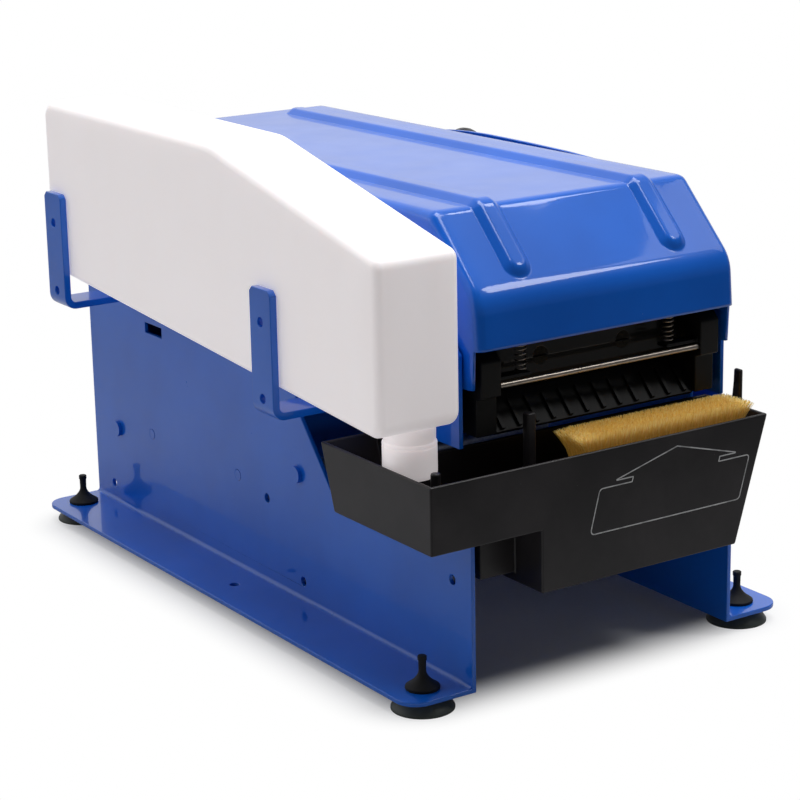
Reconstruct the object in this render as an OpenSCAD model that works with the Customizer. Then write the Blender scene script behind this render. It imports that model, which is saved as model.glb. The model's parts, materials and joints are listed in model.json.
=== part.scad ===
// Gummed tape dispenser, worked by a lever, for a shop counter.
// +Z is up, +X is the lever side, -Y is the front where the wet tape comes out.
// The origin is on the table, midway between the side frames and midway along them.

/* [Side frames] */
// Distance from the tape bin to the rear edge of the side frames
rear_margin = 30; // [26:1:60]
// Clear width between the side frames
frame_gap = 161; // [156:1:180]
// Thickness of the frame sheet
plate_t = 2.5; // [2:0.1:3]
// Height of the side frames above the foot flanges
frame_h = 190; // [182:1:200]
// Width of each foot flange
flange_w = 37; // [34:1:50]
// Radius of the flange corners
flange_r = 12; // [4:1:16]
// Height of the shoulder that carries the water tray, above the flanges
shoulder_h = 81; // [78:1:84]
// Height of the gap above the shoulder
notch_h = 39; // [37:1:44]
// Setback of the frame nose behind the front edge
nose_back = 8.5; // [8:0.5:14]

/* [Feet] */
// Height of a suction cup below its flange
cup_h = 7.5; // [6:0.5:12]
// Diameter of a suction cup
cup_d = 32; // [26:1:36]
// Diameter of the collar on top of the flange
collar_d = 19; // [16:1:22]
// Height of the pull stem above the flange
stem_h = 17; // [12:1:24]
// Distance of a foot from the end of its flange
foot_in = 16; // [14:1:40]

/* [Lid] */
// Gap between the lid and each side frame
lid_gap = 2.5; // [2:0.1:3.5]
// Thickness of the lid sheet
lid_t = 1.5; // [1:0.1:2]
// Height of the lid top at the front crease, above the side frames
lid_rise = 39.5; // [36:0.5:46]
// Fall of the lid top towards the back
lid_fall = 5; // [0:0.5:8]
// Length of the sloping front face, measured along Y
slope_run = 36; // [28:1:44]
// Drop of the sloping front face
slope_drop = 36; // [30:1:40]
// Height of the front lip
lip_h = 24; // [18:1:28]
// Distance of each stamped rib from the middle
rib_x = 48; // [30:1:60]
// Width of a stamped rib
rib_w = 12; // [8:1:16]
// Running gap of the lid on its hinge pin, on the diameter
pin_gap = 0.1; // [0.05:0.05:0.2]

/* [Water bottle] */
// Width of the bottle
bottle_w = 48; // [40:1:52]
// Length of the bottle
bottle_l = 341; // [320:1:350]
// Height of the bottle top above the flanges
bottle_top = 254.5; // [250:0.5:262]
// Height of the bottle bottom at the front, above the flanges
bottle_low = 134; // [133:0.5:138]
// Rise of the bottle bottom towards the back
bottle_rise = 24; // [16:1:30]
// Height of the bottle front top edge above the flanges
bottle_front = 220; // [205:1:235]
// Length of the sloping part of the bottle top
bottle_slope = 153; // [120:1:180]
// Radius of the bottle edges
bottle_r = 7; // [5:0.5:9]
// Wall of the bottle
bottle_wall = 1.8; // [1.2:0.1:2.5]
// Gap between the bottle and the side frame
bottle_gap = 3.5; // [3:0.5:8]
// Diameter of the bottle neck
neck_d = 27; // [22:0.5:27.5]
// Distance of the neck axis behind the bottle front
neck_back = 21; // [20:0.5:30]
// Reach of the neck valve below the tray rim
neck_dip = 7; // [4:0.5:14]

/* [Bottle brackets] */
// Width of a bracket strip
bracket_w = 20; // [16:1:24]
// Thickness of a bracket strip
bracket_t = 4; // [3:0.5:5]
// Height of the outer upright
bracket_h = 66; // [50:1:80]
// Height of the front bracket leg above the flanges
bracket_front_h = 125; // [123.5:0.5:125.5]
// Height of the rear bracket leg above the flanges
bracket_rear_h = 138.5; // [136:0.5:140]
// Distance of the front bracket behind the frame front
bracket_front_y = 98; // [90:1:120]
// Distance of the rear bracket behind the frame front
bracket_rear_y = 326; // [280:1:330]

/* [Water tray] */
// Height of the tray rim above the shoulder
rim_h = 34; // [32:0.5:34]
// Wall of the tray
tray_wall = 2.2; // [1.8:0.1:2.6]
// Distance of the tray front ahead of the frame front
tray_ahead = 20; // [18:1:30]
// Depth of the trough from front to back
trough_l = 48; // [46:1:50]
// Reach of the wing outside the left frame
wing_w = 36.5; // [36:0.5:40]
// Length of the wing from front to back
wing_l = 96; // [90:1:100]
// Reach of the tray rim past the right frame
tray_right = 5; // [4:0.5:10]
// Depth of the deep tank below the shoulder
tank_drop = 32; // [20:1:40]
// Left end of the deep tank
tank_left = -55; // [-70:1:-45]
// Right end of the deep tank
tank_right = 68; // [60:1:74]

/* [Brush] */
// Length of the brush
brush_l = 113; // [100:1:113]
// Depth of the brush from front to back
brush_d = 22; // [18:0.5:22]
// Centre of the brush along X
brush_x = 26; // [22:0.5:26]
// Height of the bristle tips above the tray rim
bristle_up = 7.5; // [4:0.5:8]
// Free length of the bristles
bristle_l = 16; // [12:0.5:18]
// Number of strands along the brush
strands_x = 38; // [30:1:40]
// Number of rows of strands
strands_y = 10; // [8:1:12]

/* [Tape path] */
// Distance of the feed shaft behind the frame front
feed_back = 70; // [66:1:76]
// Height of the feed shaft above the flanges
feed_h = 140; // [138:1:142]
// Diameter of the feed shaft
feed_d = 10; // [8:1:12]
// Diameter of the feed wheels
feed_wheel_d = 44; // [40:1:45]
// Width of each feed wheel
feed_wheel_w = 22; // [16:1:26]
// Diameter of the pressure roller
press_d = 22; // [18:1:24]
// Thickness of the tape between the rollers
tape_gap = 0.4; // [0.3:0.05:0.8]
// Distance of a cheek's inner face from its side frame
cheek_inset = 18.5; // [17:0.5:21]
// Width of a cheek
cheek_w = 12; // [8:1:13]
// Diameter of the steel guide rod
rod_d = 3; // [2.5:0.5:4]
// Number of ribs on the guide plate
guide_ribs = 12; // [8:1:16]
// Gap between the blade holder and each cheek
holder_gap = 8; // [6:1:12]
// Distance of the holder screws from the middle
holder_screw_x = 25.8; // [20:0.1:32]
// Distance of the holder springs from the cheeks
spring_inset = 16; // [14:1:20]
// Length of a holder spring between its seats
spring_l = 14; // [12:0.5:16]
// Height of the lower spring seats above the flanges, which the cheeks, blades and bed follow
seat_h = 153; // [150:0.5:154]

/* [Tape bin] */
// Inner radius of the bin
bin_r = 95; // [88:1:95]
// Thickness of the bin sheet
bin_t = 1.5; // [1:0.1:2]
// Free length in front of the bin
bin_ahead = 180; // [179:1:185]
// Height of the bin centre above the flanges
bin_h = 118; // [112:1:120]
// Diameter of the bin rollers
bin_roller_d = 18; // [12:1:22]
// Distance of each tape guide from the middle
guide_x = 42; // [30:1:60]

/* [Lever] */
// Tooth size of the gears, as a module
gear_m = 1.5; // [1.5:0.05:1.6]
// Teeth on the pinion
pinion_teeth = 12; // [12:1:13]
// Teeth on the idler between sector and pinion
idler_teeth = 18; // [18:1:20]
// Teeth on the full circle of the sector
sector_teeth = 80; // [76:2:82]
// Thickness of the gears
gear_t = 5; // [4:0.5:6]
// Length of the lever from pivot to tip
lever_l = 163; // [150:1:170]
// Lean of the lever at rest, above the horizontal
lever_rest = 36; // [34:1:40]
// Swing of the lever
lever_swing = 100; // [80:1:100]
// Diameter of the lever pivot
pivot_d = 12; // [10:1:14]
// Diameter of the grip
grip_d = 24; // [18:1:28]
// Length of the grip
grip_l = 70; // [50:1:80]
// Thickness of the scale plate
scale_t = 2; // [1.5:0.1:2.5]

/* [Hidden] */
$fn = 48;

// Level places, worked out from the sizes above
bin_back = bin_ahead + bin_r;
frame_len = bin_back + bin_r + rear_margin;
front = -frame_len / 2;
deck = cup_h + plate_t;
inner = frame_gap / 2;
outer = inner + plate_t;
fit = 0.1;

// Named colours
BLUE = [0.08, 0.27, 0.66];
BLACK = [0.08, 0.08, 0.09];
STEEL = [0.72, 0.73, 0.75];
RUBBER = [0.13, 0.13, 0.14];
WHITE = [0.92, 0.91, 0.92];

// A place in the side view, from the front edge and the flange top
function at(dy, dz) = [front + dy, deck + dz];

// Side view outline, extruded along X
module along_x(x0, len) {
    translate([x0, 0, 0]) rotate([90, 0, 90]) linear_extrude(len) children();
}

// Round bar along X, at a place in the side view
module bar_x(x0, x1, p, d) {
    translate([x0, p[0], p[1]]) rotate([0, 90, 0]) cylinder(h = x1 - x0, d = d);
}

// Bored bar along X
module tube_x(x0, x1, p, d, bore) {
    difference() {
        bar_x(x0, x1, p, d);
        bar_x(x0 - 1, x1 + 1, p, bore);
    }
}

// ---------- Side frames ----------
shoulder = shoulder_h;
gap_top = shoulder_h + notch_h;
trough_back = trough_l - tray_ahead;
tray_clear = 4;
rim = shoulder_h + rim_h;
tank_floor = shoulder_h - tank_drop;
rim_right = outer + tray_right;
// Height at which the slanted tray end meets the right frame
right_shoulder = tank_floor + (rim - tank_floor) * (inner - tank_right) / (rim_right - tank_right);
nose_top = frame_h - 24;
nose_run = 26;
tie_low = at(bin_back + bin_r - 1, 47);
tie_mid = at(160, 70);
tie_top = at(142, frame_h - 22);
tie_d = 12;
tie_screw_d = 5;
feed_p = at(feed_back, feed_h);
// The idler lies below and behind the feed shaft, and level with the lever pivot
idler_angle = 120;
idler_p = feed_p - gear_m * (pinion_teeth + idler_teeth) / 2 * [cos(idler_angle), sin(idler_angle)];
pivot_p = idler_p + [gear_m * (sector_teeth + idler_teeth) / 2, 0];
idler_pin_d = 8;
arm_p = at(feed_back + 42, frame_h - 9);
arm_pin_d = 8;
hinge_p = at(frame_len - 24, frame_h - 14);
hinge_d = 6;
bush_d = 18;
pivot_bush_d = pivot_d + 8;
cheek_screw_p = at(30, seat_h - 3);
bin_p = at(bin_back, bin_h);
bin_roller_tilt = 38;
bin_roller_r = bin_r - bin_roller_d / 2 - 4;
bin_axle_d = 6;
guide_p = at(bin_back - 107, frame_h - 24);
guide_bar_d = 8;
slot_y = 20;
slot_low = frame_h - 30;
slot_w = 4;
slot_l = 12;
rest_d = 6;
rest_gap = 0.3;
rest_reach = 28;

// Centre of a rest stud, just under the sloping bottle bottom
function rest_p(dy) = at(dy, bottle_low + bottle_rise * (dy - bottle_r) / (bottle_l - 2 * bottle_r)
    - rest_d / 2 - rest_gap);
rest_p1 = rest_p(40);
rest_p2 = rest_p(250);

function bin_roller_p(side) = [
    bin_p[0] + side * bin_roller_r * sin(bin_roller_tilt),
    bin_p[1] - bin_roller_r * cos(bin_roller_tilt)
];

left_notch = [
    at(0, shoulder), at(60, shoulder), at(122, shoulder - 17),
    at(156, shoulder + 23), at(162, gap_top), at(nose_back, gap_top)
];
right_notch = [
    at(0, right_shoulder), at(trough_back + tray_clear, right_shoulder),
    at(trough_back + tray_clear, gap_top), at(nose_back, gap_top)
];

module frame_outline(notch) {
    polygon(concat(
        [at(frame_len, -plate_t), at(0, -plate_t)],
        notch,
        [at(nose_back, nose_top), at(nose_back + nose_run, frame_h),
         at(frame_len - 10, frame_h), at(frame_len, frame_h - 10)]
    ));
}

module flange(x0, side) {
    // Outer corners are round, the inner edge is the bend
    difference() {
        linear_extrude(plate_t) {
            translate([side > 0 ? 0 : -flange_w, 0]) {
                translate([0, flange_r]) square([flange_w, frame_len - 2 * flange_r]);
                translate([side > 0 ? 0 : flange_r, 0]) square([flange_w - flange_r, frame_len]);
                for (y = [flange_r, frame_len - flange_r])
                    translate([side > 0 ? flange_w - flange_r : flange_r, y]) circle(flange_r);
            }
        }
        for (y = [foot_in, frame_len - foot_in])
            translate([side * flange_w / 2, y, -1]) cylinder(h = plate_t + 2, d = stem_hole_d);
        translate([side * flange_w / 2, frame_len / 2, -1]) cylinder(h = plate_t + 2, d = 5);
    }
}

module side_holes(x0, len) {
    for (p = [tie_low, tie_mid, tie_top]) bar_x(x0, x0 + len, p, tie_screw_d + fit);
    bar_x(x0, x0 + len, arm_p, arm_pin_d + fit);
    bar_x(x0, x0 + len, hinge_p, hinge_d + fit);
    bar_x(x0, x0 + len, feed_p, bush_d + fit);
    bar_x(x0, x0 + len, cheek_screw_p, 4 + fit);
    bar_x(x0, x0 + len, guide_p, guide_bar_d + fit);
    for (s = [-1, 1]) bar_x(x0, x0 + len, bin_roller_p(s), bin_axle_d + fit);
    // Slot in the nose
    for (dz = [slot_w / 2, slot_l - slot_w / 2]) bar_x(x0, x0 + len, at(slot_y, slot_low + dz), slot_w);
    translate([x0, front + slot_y - slot_w / 2, deck + slot_low + slot_w / 2])
        cube([len, slot_w, slot_l - slot_w]);
}

module side_frame_left() {
    color(BLUE) difference() {
        union() {
            along_x(-outer, plate_t) frame_outline(left_notch);
            translate([-outer, front, cup_h]) flange(0, -1);
        }
        side_holes(-outer - 1, plate_t + 2);
        // Spare fixing holes and the small slot of the blank
        for (p = [at(193, 48), at(16, 52), at(157, 10), at(frame_len - 22, 10)])
            bar_x(-outer - 1, -inner + 1, p, 5);
        for (y = bracket_screw_ys(bracket_front_y)) bar_x(-outer - 1, -inner + 1, [y, tab_z(bracket_front_h)], 4 + fit);
        for (y = bracket_screw_ys(bracket_rear_y)) bar_x(-outer - 1, -inner + 1, [y, tab_z(bracket_rear_h)], 4 + fit);
        for (p = [rest_p1, rest_p2]) bar_x(-outer - 1, -inner + 1, p, 4 + fit);
        translate([-outer - 1, front + 308, deck + 115]) cube([plate_t + 2, 20, 6]);
    }
}

module side_frame_right() {
    color(BLUE) difference() {
        union() {
            along_x(inner, plate_t) frame_outline(right_notch);
            translate([outer, front, cup_h]) flange(0, 1);
        }
        side_holes(inner - 1, plate_t + 2);
        bar_x(inner - 1, outer + 1, pivot_p, pivot_bush_d + fit);
        bar_x(inner - 1, outer + 1, idler_p, idler_pin_d + fit);
        for (p = standoff_ps) bar_x(inner - 1, outer + 1, p, 4 + fit);
    }
}

module tie_rods() {
    color(STEEL) for (p = [tie_low, tie_mid, tie_top])
        difference() {
            bar_x(-inner, inner, p, tie_d);
            for (x = [-inner - 1, inner - 14]) bar_x(x, x + 15, p, tie_screw_d);
        }
}

module tie_screws() {
    head_t = 2.2;
    color(STEEL) for (p = [tie_low, tie_mid, tie_top], s = [-1, 1]) {
        bar_x(s > 0 ? inner - 12 : -outer, s > 0 ? outer : -inner + 12, p, tie_screw_d);
        bar_x(s > 0 ? outer : -outer - head_t, s > 0 ? outer + head_t : -outer, p, 9.5);
    }
}

// ---------- Feet ----------
stem_hole_d = 6;
collar_h = 5;

module foot(side, y) {
    x = side * (outer + flange_w / 2);
    color(RUBBER) translate([x, y, 0]) rotate_extrude() polygon([
        [0, 3], [8, 2.4], [cup_d / 2 - 1.6, 0], [cup_d / 2, 0], [cup_d / 2, 1],
        [collar_d / 2, cup_h], [stem_hole_d / 2, cup_h], [stem_hole_d / 2, deck],
        [collar_d / 2, deck], [collar_d / 2 - 0.5, deck + 1], [3, deck + collar_h],
        [2, deck + collar_h + 2], [2, deck + stem_h - 4], [2.6, deck + stem_h - 3],
        [2.6, deck + stem_h], [0, deck + stem_h]
    ]);
}
module foot_front_left() { foot(-1, front + foot_in); }
module foot_front_right() { foot(1, front + foot_in); }
module foot_rear_left() { foot(-1, -front - foot_in); }
module foot_rear_right() { foot(1, -front - foot_in); }

// ---------- Lid ----------
lid_w = frame_gap - 2 * lid_gap;
lid_h = frame_h + lid_rise;
lip_y = -2.5;
crease_y = -0.5;
crease_h = lid_h - slope_drop;
lip_low = crease_h - lip_h;
lid_rear = hinge_p[0] - front + 9;
lid_rear_low = hinge_p[1] - deck - 6.5;
side_low = frame_h - 2;
ear_l = 12;
ear_drop = 20;

module lid_outline(t) {
    polygon([
        at(lip_y + t, t > 0 ? lip_low - 60 : lip_low), at(crease_y + t, crease_h - 0.4 * t),
        at(slope_run + 0.4 * t, lid_h - t), at(lid_rear - t, lid_h - lid_fall - t),
        at(lid_rear - t, t > 0 ? lip_low - 60 : lid_rear_low)
    ]);
}

module lid_rib(x) {
    // A raised strip along the top and most of the way down the slope
    rise = 2;
    sink = 0.6;
    taper = 4;
    crease = at(slope_run, lid_h);
    up = [slope_run, slope_drop] / norm([slope_run, slope_drop]);
    back = [lid_rear - slope_run, -lid_fall] / norm([lid_rear - slope_run, lid_fall]);
    out_front = [-up[1], up[0]];
    out_top = [-back[1], back[0]];
    low = crease - up * norm([slope_run, slope_drop]) * 0.72;
    end = crease + back * (lid_rear - slope_run - 6);
    ridge = (out_front + out_top) / (1 + out_front * out_top);
    along_x(x - rib_w / 2, rib_w) polygon([
        low - out_front * sink, low, low + up * taper + out_front * rise, crease + ridge * rise,
        end - back * taper + out_top * rise, end, end - out_top * sink, crease - ridge * sink
    ]);
}

module lid() {
    color(BLUE) difference() {
        union() {
            along_x(-lid_w / 2, lid_w) lid_outline(0);
            // An ear on each side reaches lower behind the front lip
            for (s = [-1, 1])
                along_x(s > 0 ? lid_w / 2 - lid_t : -lid_w / 2, lid_t)
                    polygon([at(2, lip_low - ear_drop), at(2, lip_low + 5),
                        at(2 * ear_l, lip_low + 5), at(ear_l, lip_low - ear_drop)]);
            for (s = [-1, 1]) lid_rib(s * rib_x);
        }
        along_x(-lid_w / 2 + lid_t, lid_w - 2 * lid_t) lid_outline(lid_t);
        // The sides are shallow between the ears and the hinge
        along_x(-lid_w, 2 * lid_w) polygon([
            at(slope_run, lip_low - 1), at(slope_run + 20, side_low),
            at(lid_rear - 34, side_low), at(lid_rear - 22, lid_rear_low - 1),
            at(lid_rear - 22, lid_rear_low - 30), at(slope_run, lid_rear_low - 30)
        ]);
        bar_x(-lid_w, lid_w, hinge_p, hinge_d + pin_gap);
    }
}

module lid_hinge_pin() {
    head_t = 2.2;
    color(STEEL) {
        bar_x(-outer, outer, hinge_p, hinge_d);
        bar_x(-outer - head_t, -outer, hinge_p, 10);
        bar_x(outer, outer + head_t, hinge_p, 10);
    }
}

// ---------- Water bottle ----------
bottle_x = -outer - bottle_gap - bottle_w / 2;
neck_y = front + neck_back;
// The neck stands in the tray wing, close to its outer wall
neck_x = -outer - wing_w + tray_wall + 0.6 + neck_d / 2;
valve_low = rim - neck_dip;
neck_wall = 2.4;
neck_tube_d = neck_d - 4;

module bottle_form(inset) {
    r = bottle_r - inset;
    half = bottle_w / 2 - bottle_r;
    hull() for (x = [-half, half], p = [
        at(bottle_r, bottle_low + bottle_r), at(bottle_r, bottle_front - bottle_r),
        at(bottle_slope, bottle_top - bottle_r), at(bottle_l - bottle_r, bottle_top - bottle_r),
        at(bottle_l - bottle_r, bottle_low + bottle_rise + bottle_r)
    ]) translate([bottle_x + x, p[0], p[1]]) sphere(r, $fn = 24);
}

module water_bottle() {
    neck_top = deck + bottle_low + 9;
    neck_low = deck + valve_low + 5;
    color(WHITE) difference() {
        union() {
            difference() {
                bottle_form(0);
                bottle_form(bottle_wall);
            }
            translate([neck_x, neck_y, neck_low]) cylinder(h = neck_top - neck_low, d = neck_tube_d);
        }
        translate([neck_x, neck_y, neck_low - 1])
            cylinder(h = neck_top - neck_low + 2, d = neck_tube_d - 2 * neck_wall);
    }
}

module neck_valve() {
    // A screw cap with a spring valve in the middle
    color(WHITE) translate([neck_x, neck_y, deck + valve_low]) difference() {
        cylinder(h = 18, d = neck_d);
        translate([0, 0, 5]) cylinder(h = 14, d = neck_tube_d);
        translate([0, 0, -1]) cylinder(h = 7, d = 6);
    }
}

module bracket(y, leg_h) {
    // The outer upright, the leg and the short tab on the frame, seen from the front
    x_out = bottle_x - bottle_w / 2 - fit - bracket_t;
    tab_h = 12;
    color(BLUE) difference() {
        translate([0, front + y + bracket_w / 2, deck + leg_h]) rotate([90, 0, 0])
            linear_extrude(bracket_w) polygon([
                [x_out, 0.8], [x_out + 0.8, 0], [-outer, 0], [-outer, tab_h],
                [-outer - bracket_t + 1, tab_h], [-outer - bracket_t + 1, bracket_t],
                [x_out + bracket_t, bracket_t], [x_out + bracket_t, bracket_h], [x_out, bracket_h]
            ]);
        for (z = [10, 49]) translate([x_out - 1, front + y, deck + leg_h + z])
            rotate([0, 90, 0]) cylinder(h = bracket_t + 2, d = 5);
        for (yy = bracket_screw_ys(y))
            bar_x(-outer - bracket_t - 1, -outer + 1, [yy, tab_z(leg_h)], 4 + fit);
    }
}
function bracket_screw_ys(y) = [front + y - 5, front + y + 5];
function tab_z(leg_h) = deck + leg_h + 8;
module bottle_bracket_front() { bracket(bracket_front_y, bracket_front_h); }
module bottle_bracket_rear() { bracket(bracket_rear_y, bracket_rear_h); }

module bracket_screws() {
    head_x = -outer - bracket_t + 1;
    color(STEEL) for (b = [[bracket_front_y, bracket_front_h], [bracket_rear_y, bracket_rear_h]])
        for (y = bracket_screw_ys(b[0])) {
            bar_x(head_x, -inner + 2, [y, tab_z(b[1])], 4);
            bar_x(-inner, -inner + 2.4, [y, tab_z(b[1])], 7);
        }
}

module bottle_rests() {
    // Studs under the bottle, screwed to the frame
    color(STEEL) for (p = [rest_p1, rest_p2]) {
        bar_x(-outer - rest_reach, -outer, p, rest_d);
        bar_x(-outer, -inner, p, 4);
    }
}

// ---------- Water tray and brush ----------
wing_left = -outer - wing_w;
wing_right = -outer - bottle_gap + 0.5;
wing_slant = 11;
lug_up = 19;

function trough_face(t) = [
    [wing_left + t, shoulder + t], [wing_left + t, rim + (t > 0 ? 5 : 0)],
    [rim_right - t + (t > 0 ? 5 * tray_slant : 0), rim + (t > 0 ? 5 : 0)],
    [tank_right - t + t * tray_slant, tank_floor + t], [tank_left + t, tank_floor + t],
    [tank_left + t, shoulder + t]
];
tray_slant = (rim_right - tank_right) / (rim - tank_floor);

module trough_form(t) {
    translate([0, front + trough_back - t, deck]) rotate([90, 0, 0])
        linear_extrude(trough_l - 2 * t) polygon(trough_face(t));
}

module wing_form(t) {
    y0 = -tray_ahead + t;
    y1 = wing_l - tray_ahead - t;
    along_x(wing_left + t, wing_right - wing_left - 2 * t) polygon([
        at(y0, shoulder + t), at(y0, rim + (t > 0 ? 5 : 0)), at(y1, rim + (t > 0 ? 5 : 0)),
        at(y1, rim), at(y1 - wing_slant, shoulder + t)
    ]);
}

// A well beside the deep tank, behind the front of the tray
well_w = 21;
well_front = 2;
well_drop = 27;

module well_form(t) {
    translate([tank_left - well_w + t, front + well_front + t, deck + shoulder - well_drop + t])
        cube([well_w + 1, trough_back - well_front - 2 * t, well_drop + 1]);
}

module water_tray() {
    color(BLACK) {
        difference() {
            union() {
                trough_form(0);
                wing_form(0);
                well_form(0);
            }
            trough_form(tray_wall);
            wing_form(tray_wall);
            well_form(tray_wall);
        }
        // Peg beside the bottle neck, and a lug at each end of the brush
        translate([wing_left + 12, front - 7, deck + shoulder + tray_wall])
            cylinder(h = rim_h + 2 - tray_wall, d = 5);
        translate([tank_left + 6, front - 1, deck + tank_floor + tray_wall])
            cube([5, 5, rim + lug_up - tank_floor - tray_wall]);
        translate([rim_right - 2.5, front - 1, deck + rim - 1]) cube([2.5, 5, lug_up + 1]);
    }
}

brush_y0 = front - tray_ahead + tray_wall + 0.8;
backing_z = deck + rim + bristle_up - bristle_l;
brush_x0 = brush_x - brush_l / 2;
brush_x1 = brush_x + brush_l / 2;
brush_gap = 0.4;
// Inner face of the slanted tray end, at a height above the flanges
function tray_end_x(z) = tank_right - tray_wall + tray_slant * (z - tank_floor);

module brush_holder() {
    // A block that stands on the tank floor, its right end slanted with the tray
    low = tank_floor + tray_wall;
    high = backing_z - deck;
    color(BLACK) translate([0, brush_y0 + brush_d, deck]) rotate([90, 0, 0])
        linear_extrude(brush_d) polygon([
            [brush_x0, low], [tray_end_x(low) - brush_gap - 2, low],
            [tray_end_x(high) - brush_gap - 2, high - 2], [brush_x1, high - 1], [brush_x1, high],
            [brush_x0, high]
        ]);
}

// One strand: a four-sided spike that leans a little, the same way as its neighbours
function strand_points(x, y, w, lean, len) = [
    [x - w, y - w, 0.5], [x + w, y - w, 0.5], [x + w, y + w, 0.5], [x - w, y + w, 0.5],
    [x - w * 0.8, y - w * 0.8 + lean, len], [x + w * 0.8, y - w * 0.8 + lean, len],
    [x + w * 0.8, y + w * 0.8 + lean, len], [x - w * 0.8, y + w * 0.8 + lean, len]
];
strand_faces = [
    [0, 1, 2], [0, 2, 3], [4, 6, 5], [4, 7, 6],
    [0, 4, 1], [1, 4, 5], [1, 5, 2], [2, 5, 6], [2, 6, 3], [3, 6, 7], [3, 7, 0], [0, 7, 4]
];

module brush_bristles() {
    pitch_x = (brush_l - 2) / strands_x;
    pitch_y = (brush_d - 2) / strands_y;
    strand_w = min(pitch_x, pitch_y) * 0.32;
    color([0.85, 0.66, 0.33]) translate([brush_x0, brush_y0, backing_z]) {
        cube([brush_l, brush_d, 1]);
        for (i = [0:strands_x - 1], j = [0:strands_y - 1])
            polyhedron(strand_points(1 + (i + 0.5) * pitch_x, 1 + (j + 0.5) * pitch_y,
                strand_w, 0.6 * sin(40 * i), bristle_l - 0.8 * abs(sin(67 * i + 31 * j))), strand_faces);
    }
}

// ---------- Tape bin ----------
bin_len = frame_gap - 0.6;
roller_len = frame_gap - 11;

module tape_bin() {
    color(BLUE) difference() {
        union() {
            intersection() {
                tube_x(-bin_len / 2, bin_len / 2, bin_p, 2 * (bin_r + bin_t), 2 * bin_r);
                translate([-bin_len, bin_p[0] - 2 * bin_r, bin_p[1] - 2 * bin_r])
                    cube([2 * bin_len, 4 * bin_r, 2 * bin_r]);
            }
            translate([-bin_len / 2, bin_p[0] + bin_r, bin_p[1]]) cube([bin_len, bin_t, 46]);
            translate([-bin_len / 2, bin_p[0] - bin_r - bin_t, bin_p[1]]) cube([bin_len, bin_t, 14]);
        }
    }
}

module bin_roller(side) {
    color(BLACK) tube_x(-roller_len / 2, roller_len / 2, bin_roller_p(side), bin_roller_d, bin_axle_d + fit);
}
module bin_roller_front() { bin_roller(-1); }
module bin_roller_rear() { bin_roller(1); }

module bin_axles() {
    color(STEEL) for (s = [-1, 1]) {
        bar_x(-outer, outer, bin_roller_p(s), bin_axle_d);
        for (e = [-1, 1]) bar_x(e > 0 ? roller_len / 2 + 0.3 : -inner, e > 0 ? inner : -roller_len / 2 - 0.3,
            bin_roller_p(s), bin_axle_d + 4);
    }
}

module guide_bar() {
    color(STEEL) bar_x(-outer, outer, guide_p, guide_bar_d);
}

module tape_guide(side) {
    // A flat plate that hangs from the guide bar beside the tape roll
    plate = 2;
    hub = 8;
    x0 = side > 0 ? guide_x : -guide_x - plate;
    color(BLACK) difference() {
        union() {
            along_x(x0, plate) hull() {
                translate(guide_p) circle(9);
                translate(bin_p + [-8, 0]) circle(44);
            }
            bar_x(side > 0 ? x0 : x0 - hub + plate, side > 0 ? x0 + hub : x0 + plate, guide_p, 18);
        }
        bar_x(x0 - 20, x0 + 20, guide_p, guide_bar_d + fit);
    }
}
module tape_guide_left() { tape_guide(-1); }
module tape_guide_right() { tape_guide(1); }

// ---------- Front of the tape path ----------
cheek_gap = frame_gap - 2 * cheek_inset;
cheek_in = cheek_gap / 2;
cheek_low = rim + 9.5;
cheek_top = seat_h + 17;
cheek_front = 2.5;
// The cheeks stand back below this height, so that the brush lifts out past them
cheek_back = 6.5;
cheek_step = seat_h - 9.5;
rod_p = at(5, seat_h - 4);
seat_y = 9;
spring_d = 6;
spring_x = cheek_in - spring_inset;
spring_top = seat_h + spring_l;
holder_w = cheek_gap - 2 * holder_gap;
holder_y = 20;
holder_t = 3.2;
holder_low = seat_h - 6;
holder_screw_z = seat_h + 2.5;
blade_t = 1.3;
bed_y = holder_y + holder_t + 2 * blade_t + 0.3;
bed_low = seat_h - 13;
bed_lip = seat_h - 7;
bed_top = seat_h - 2;
bed_rear = feed_back - feed_wheel_d / 2 - 2;

module cheek(side) {
    boss_x = cheek_in + cheek_w;
    color(BLACK) difference() {
        union() {
            along_x(side > 0 ? cheek_in : -boss_x, cheek_w) polygon([
                at(cheek_back, cheek_low), at(cheek_back, cheek_step), at(cheek_front, cheek_step + 1),
                at(cheek_front, cheek_top - 8), at(10, cheek_top), at(36, cheek_top),
                at(40, cheek_top - 4), at(40, cheek_low)
            ]);
            bar_x(side > 0 ? boss_x : -inner, side > 0 ? inner : -boss_x, cheek_screw_p, 10);
            // Ledge that carries the spring
            translate([side > 0 ? spring_x - 4 : -cheek_in, front + seat_y - 4, deck + seat_h - 2])
                cube([cheek_in - spring_x + 4, 8, 2]);
        }
        bar_x(side > 0 ? cheek_in + 3 : -inner - 1, side > 0 ? inner + 1 : -cheek_in - 3, cheek_screw_p, 4);
        bar_x(side > 0 ? cheek_in - 1 : -cheek_in - 6, side > 0 ? cheek_in + 6 : -cheek_in + 1, rod_p, rod_d);
    }
}
module cheek_left() { cheek(-1); }
module cheek_right() { cheek(1); }

module cheek_screws() {
    color(STEEL) for (s = [-1, 1]) {
        bar_x(s > 0 ? cheek_in + 4 : -outer, s > 0 ? outer : -cheek_in - 4, cheek_screw_p, 4);
        bar_x(s > 0 ? outer : -outer - 2, s > 0 ? outer + 2 : -outer, cheek_screw_p, 8);
    }
}

module guide_rod() {
    color(STEEL) bar_x(-cheek_in - 6, cheek_in + 6, rod_p, rod_d);
}

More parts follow.
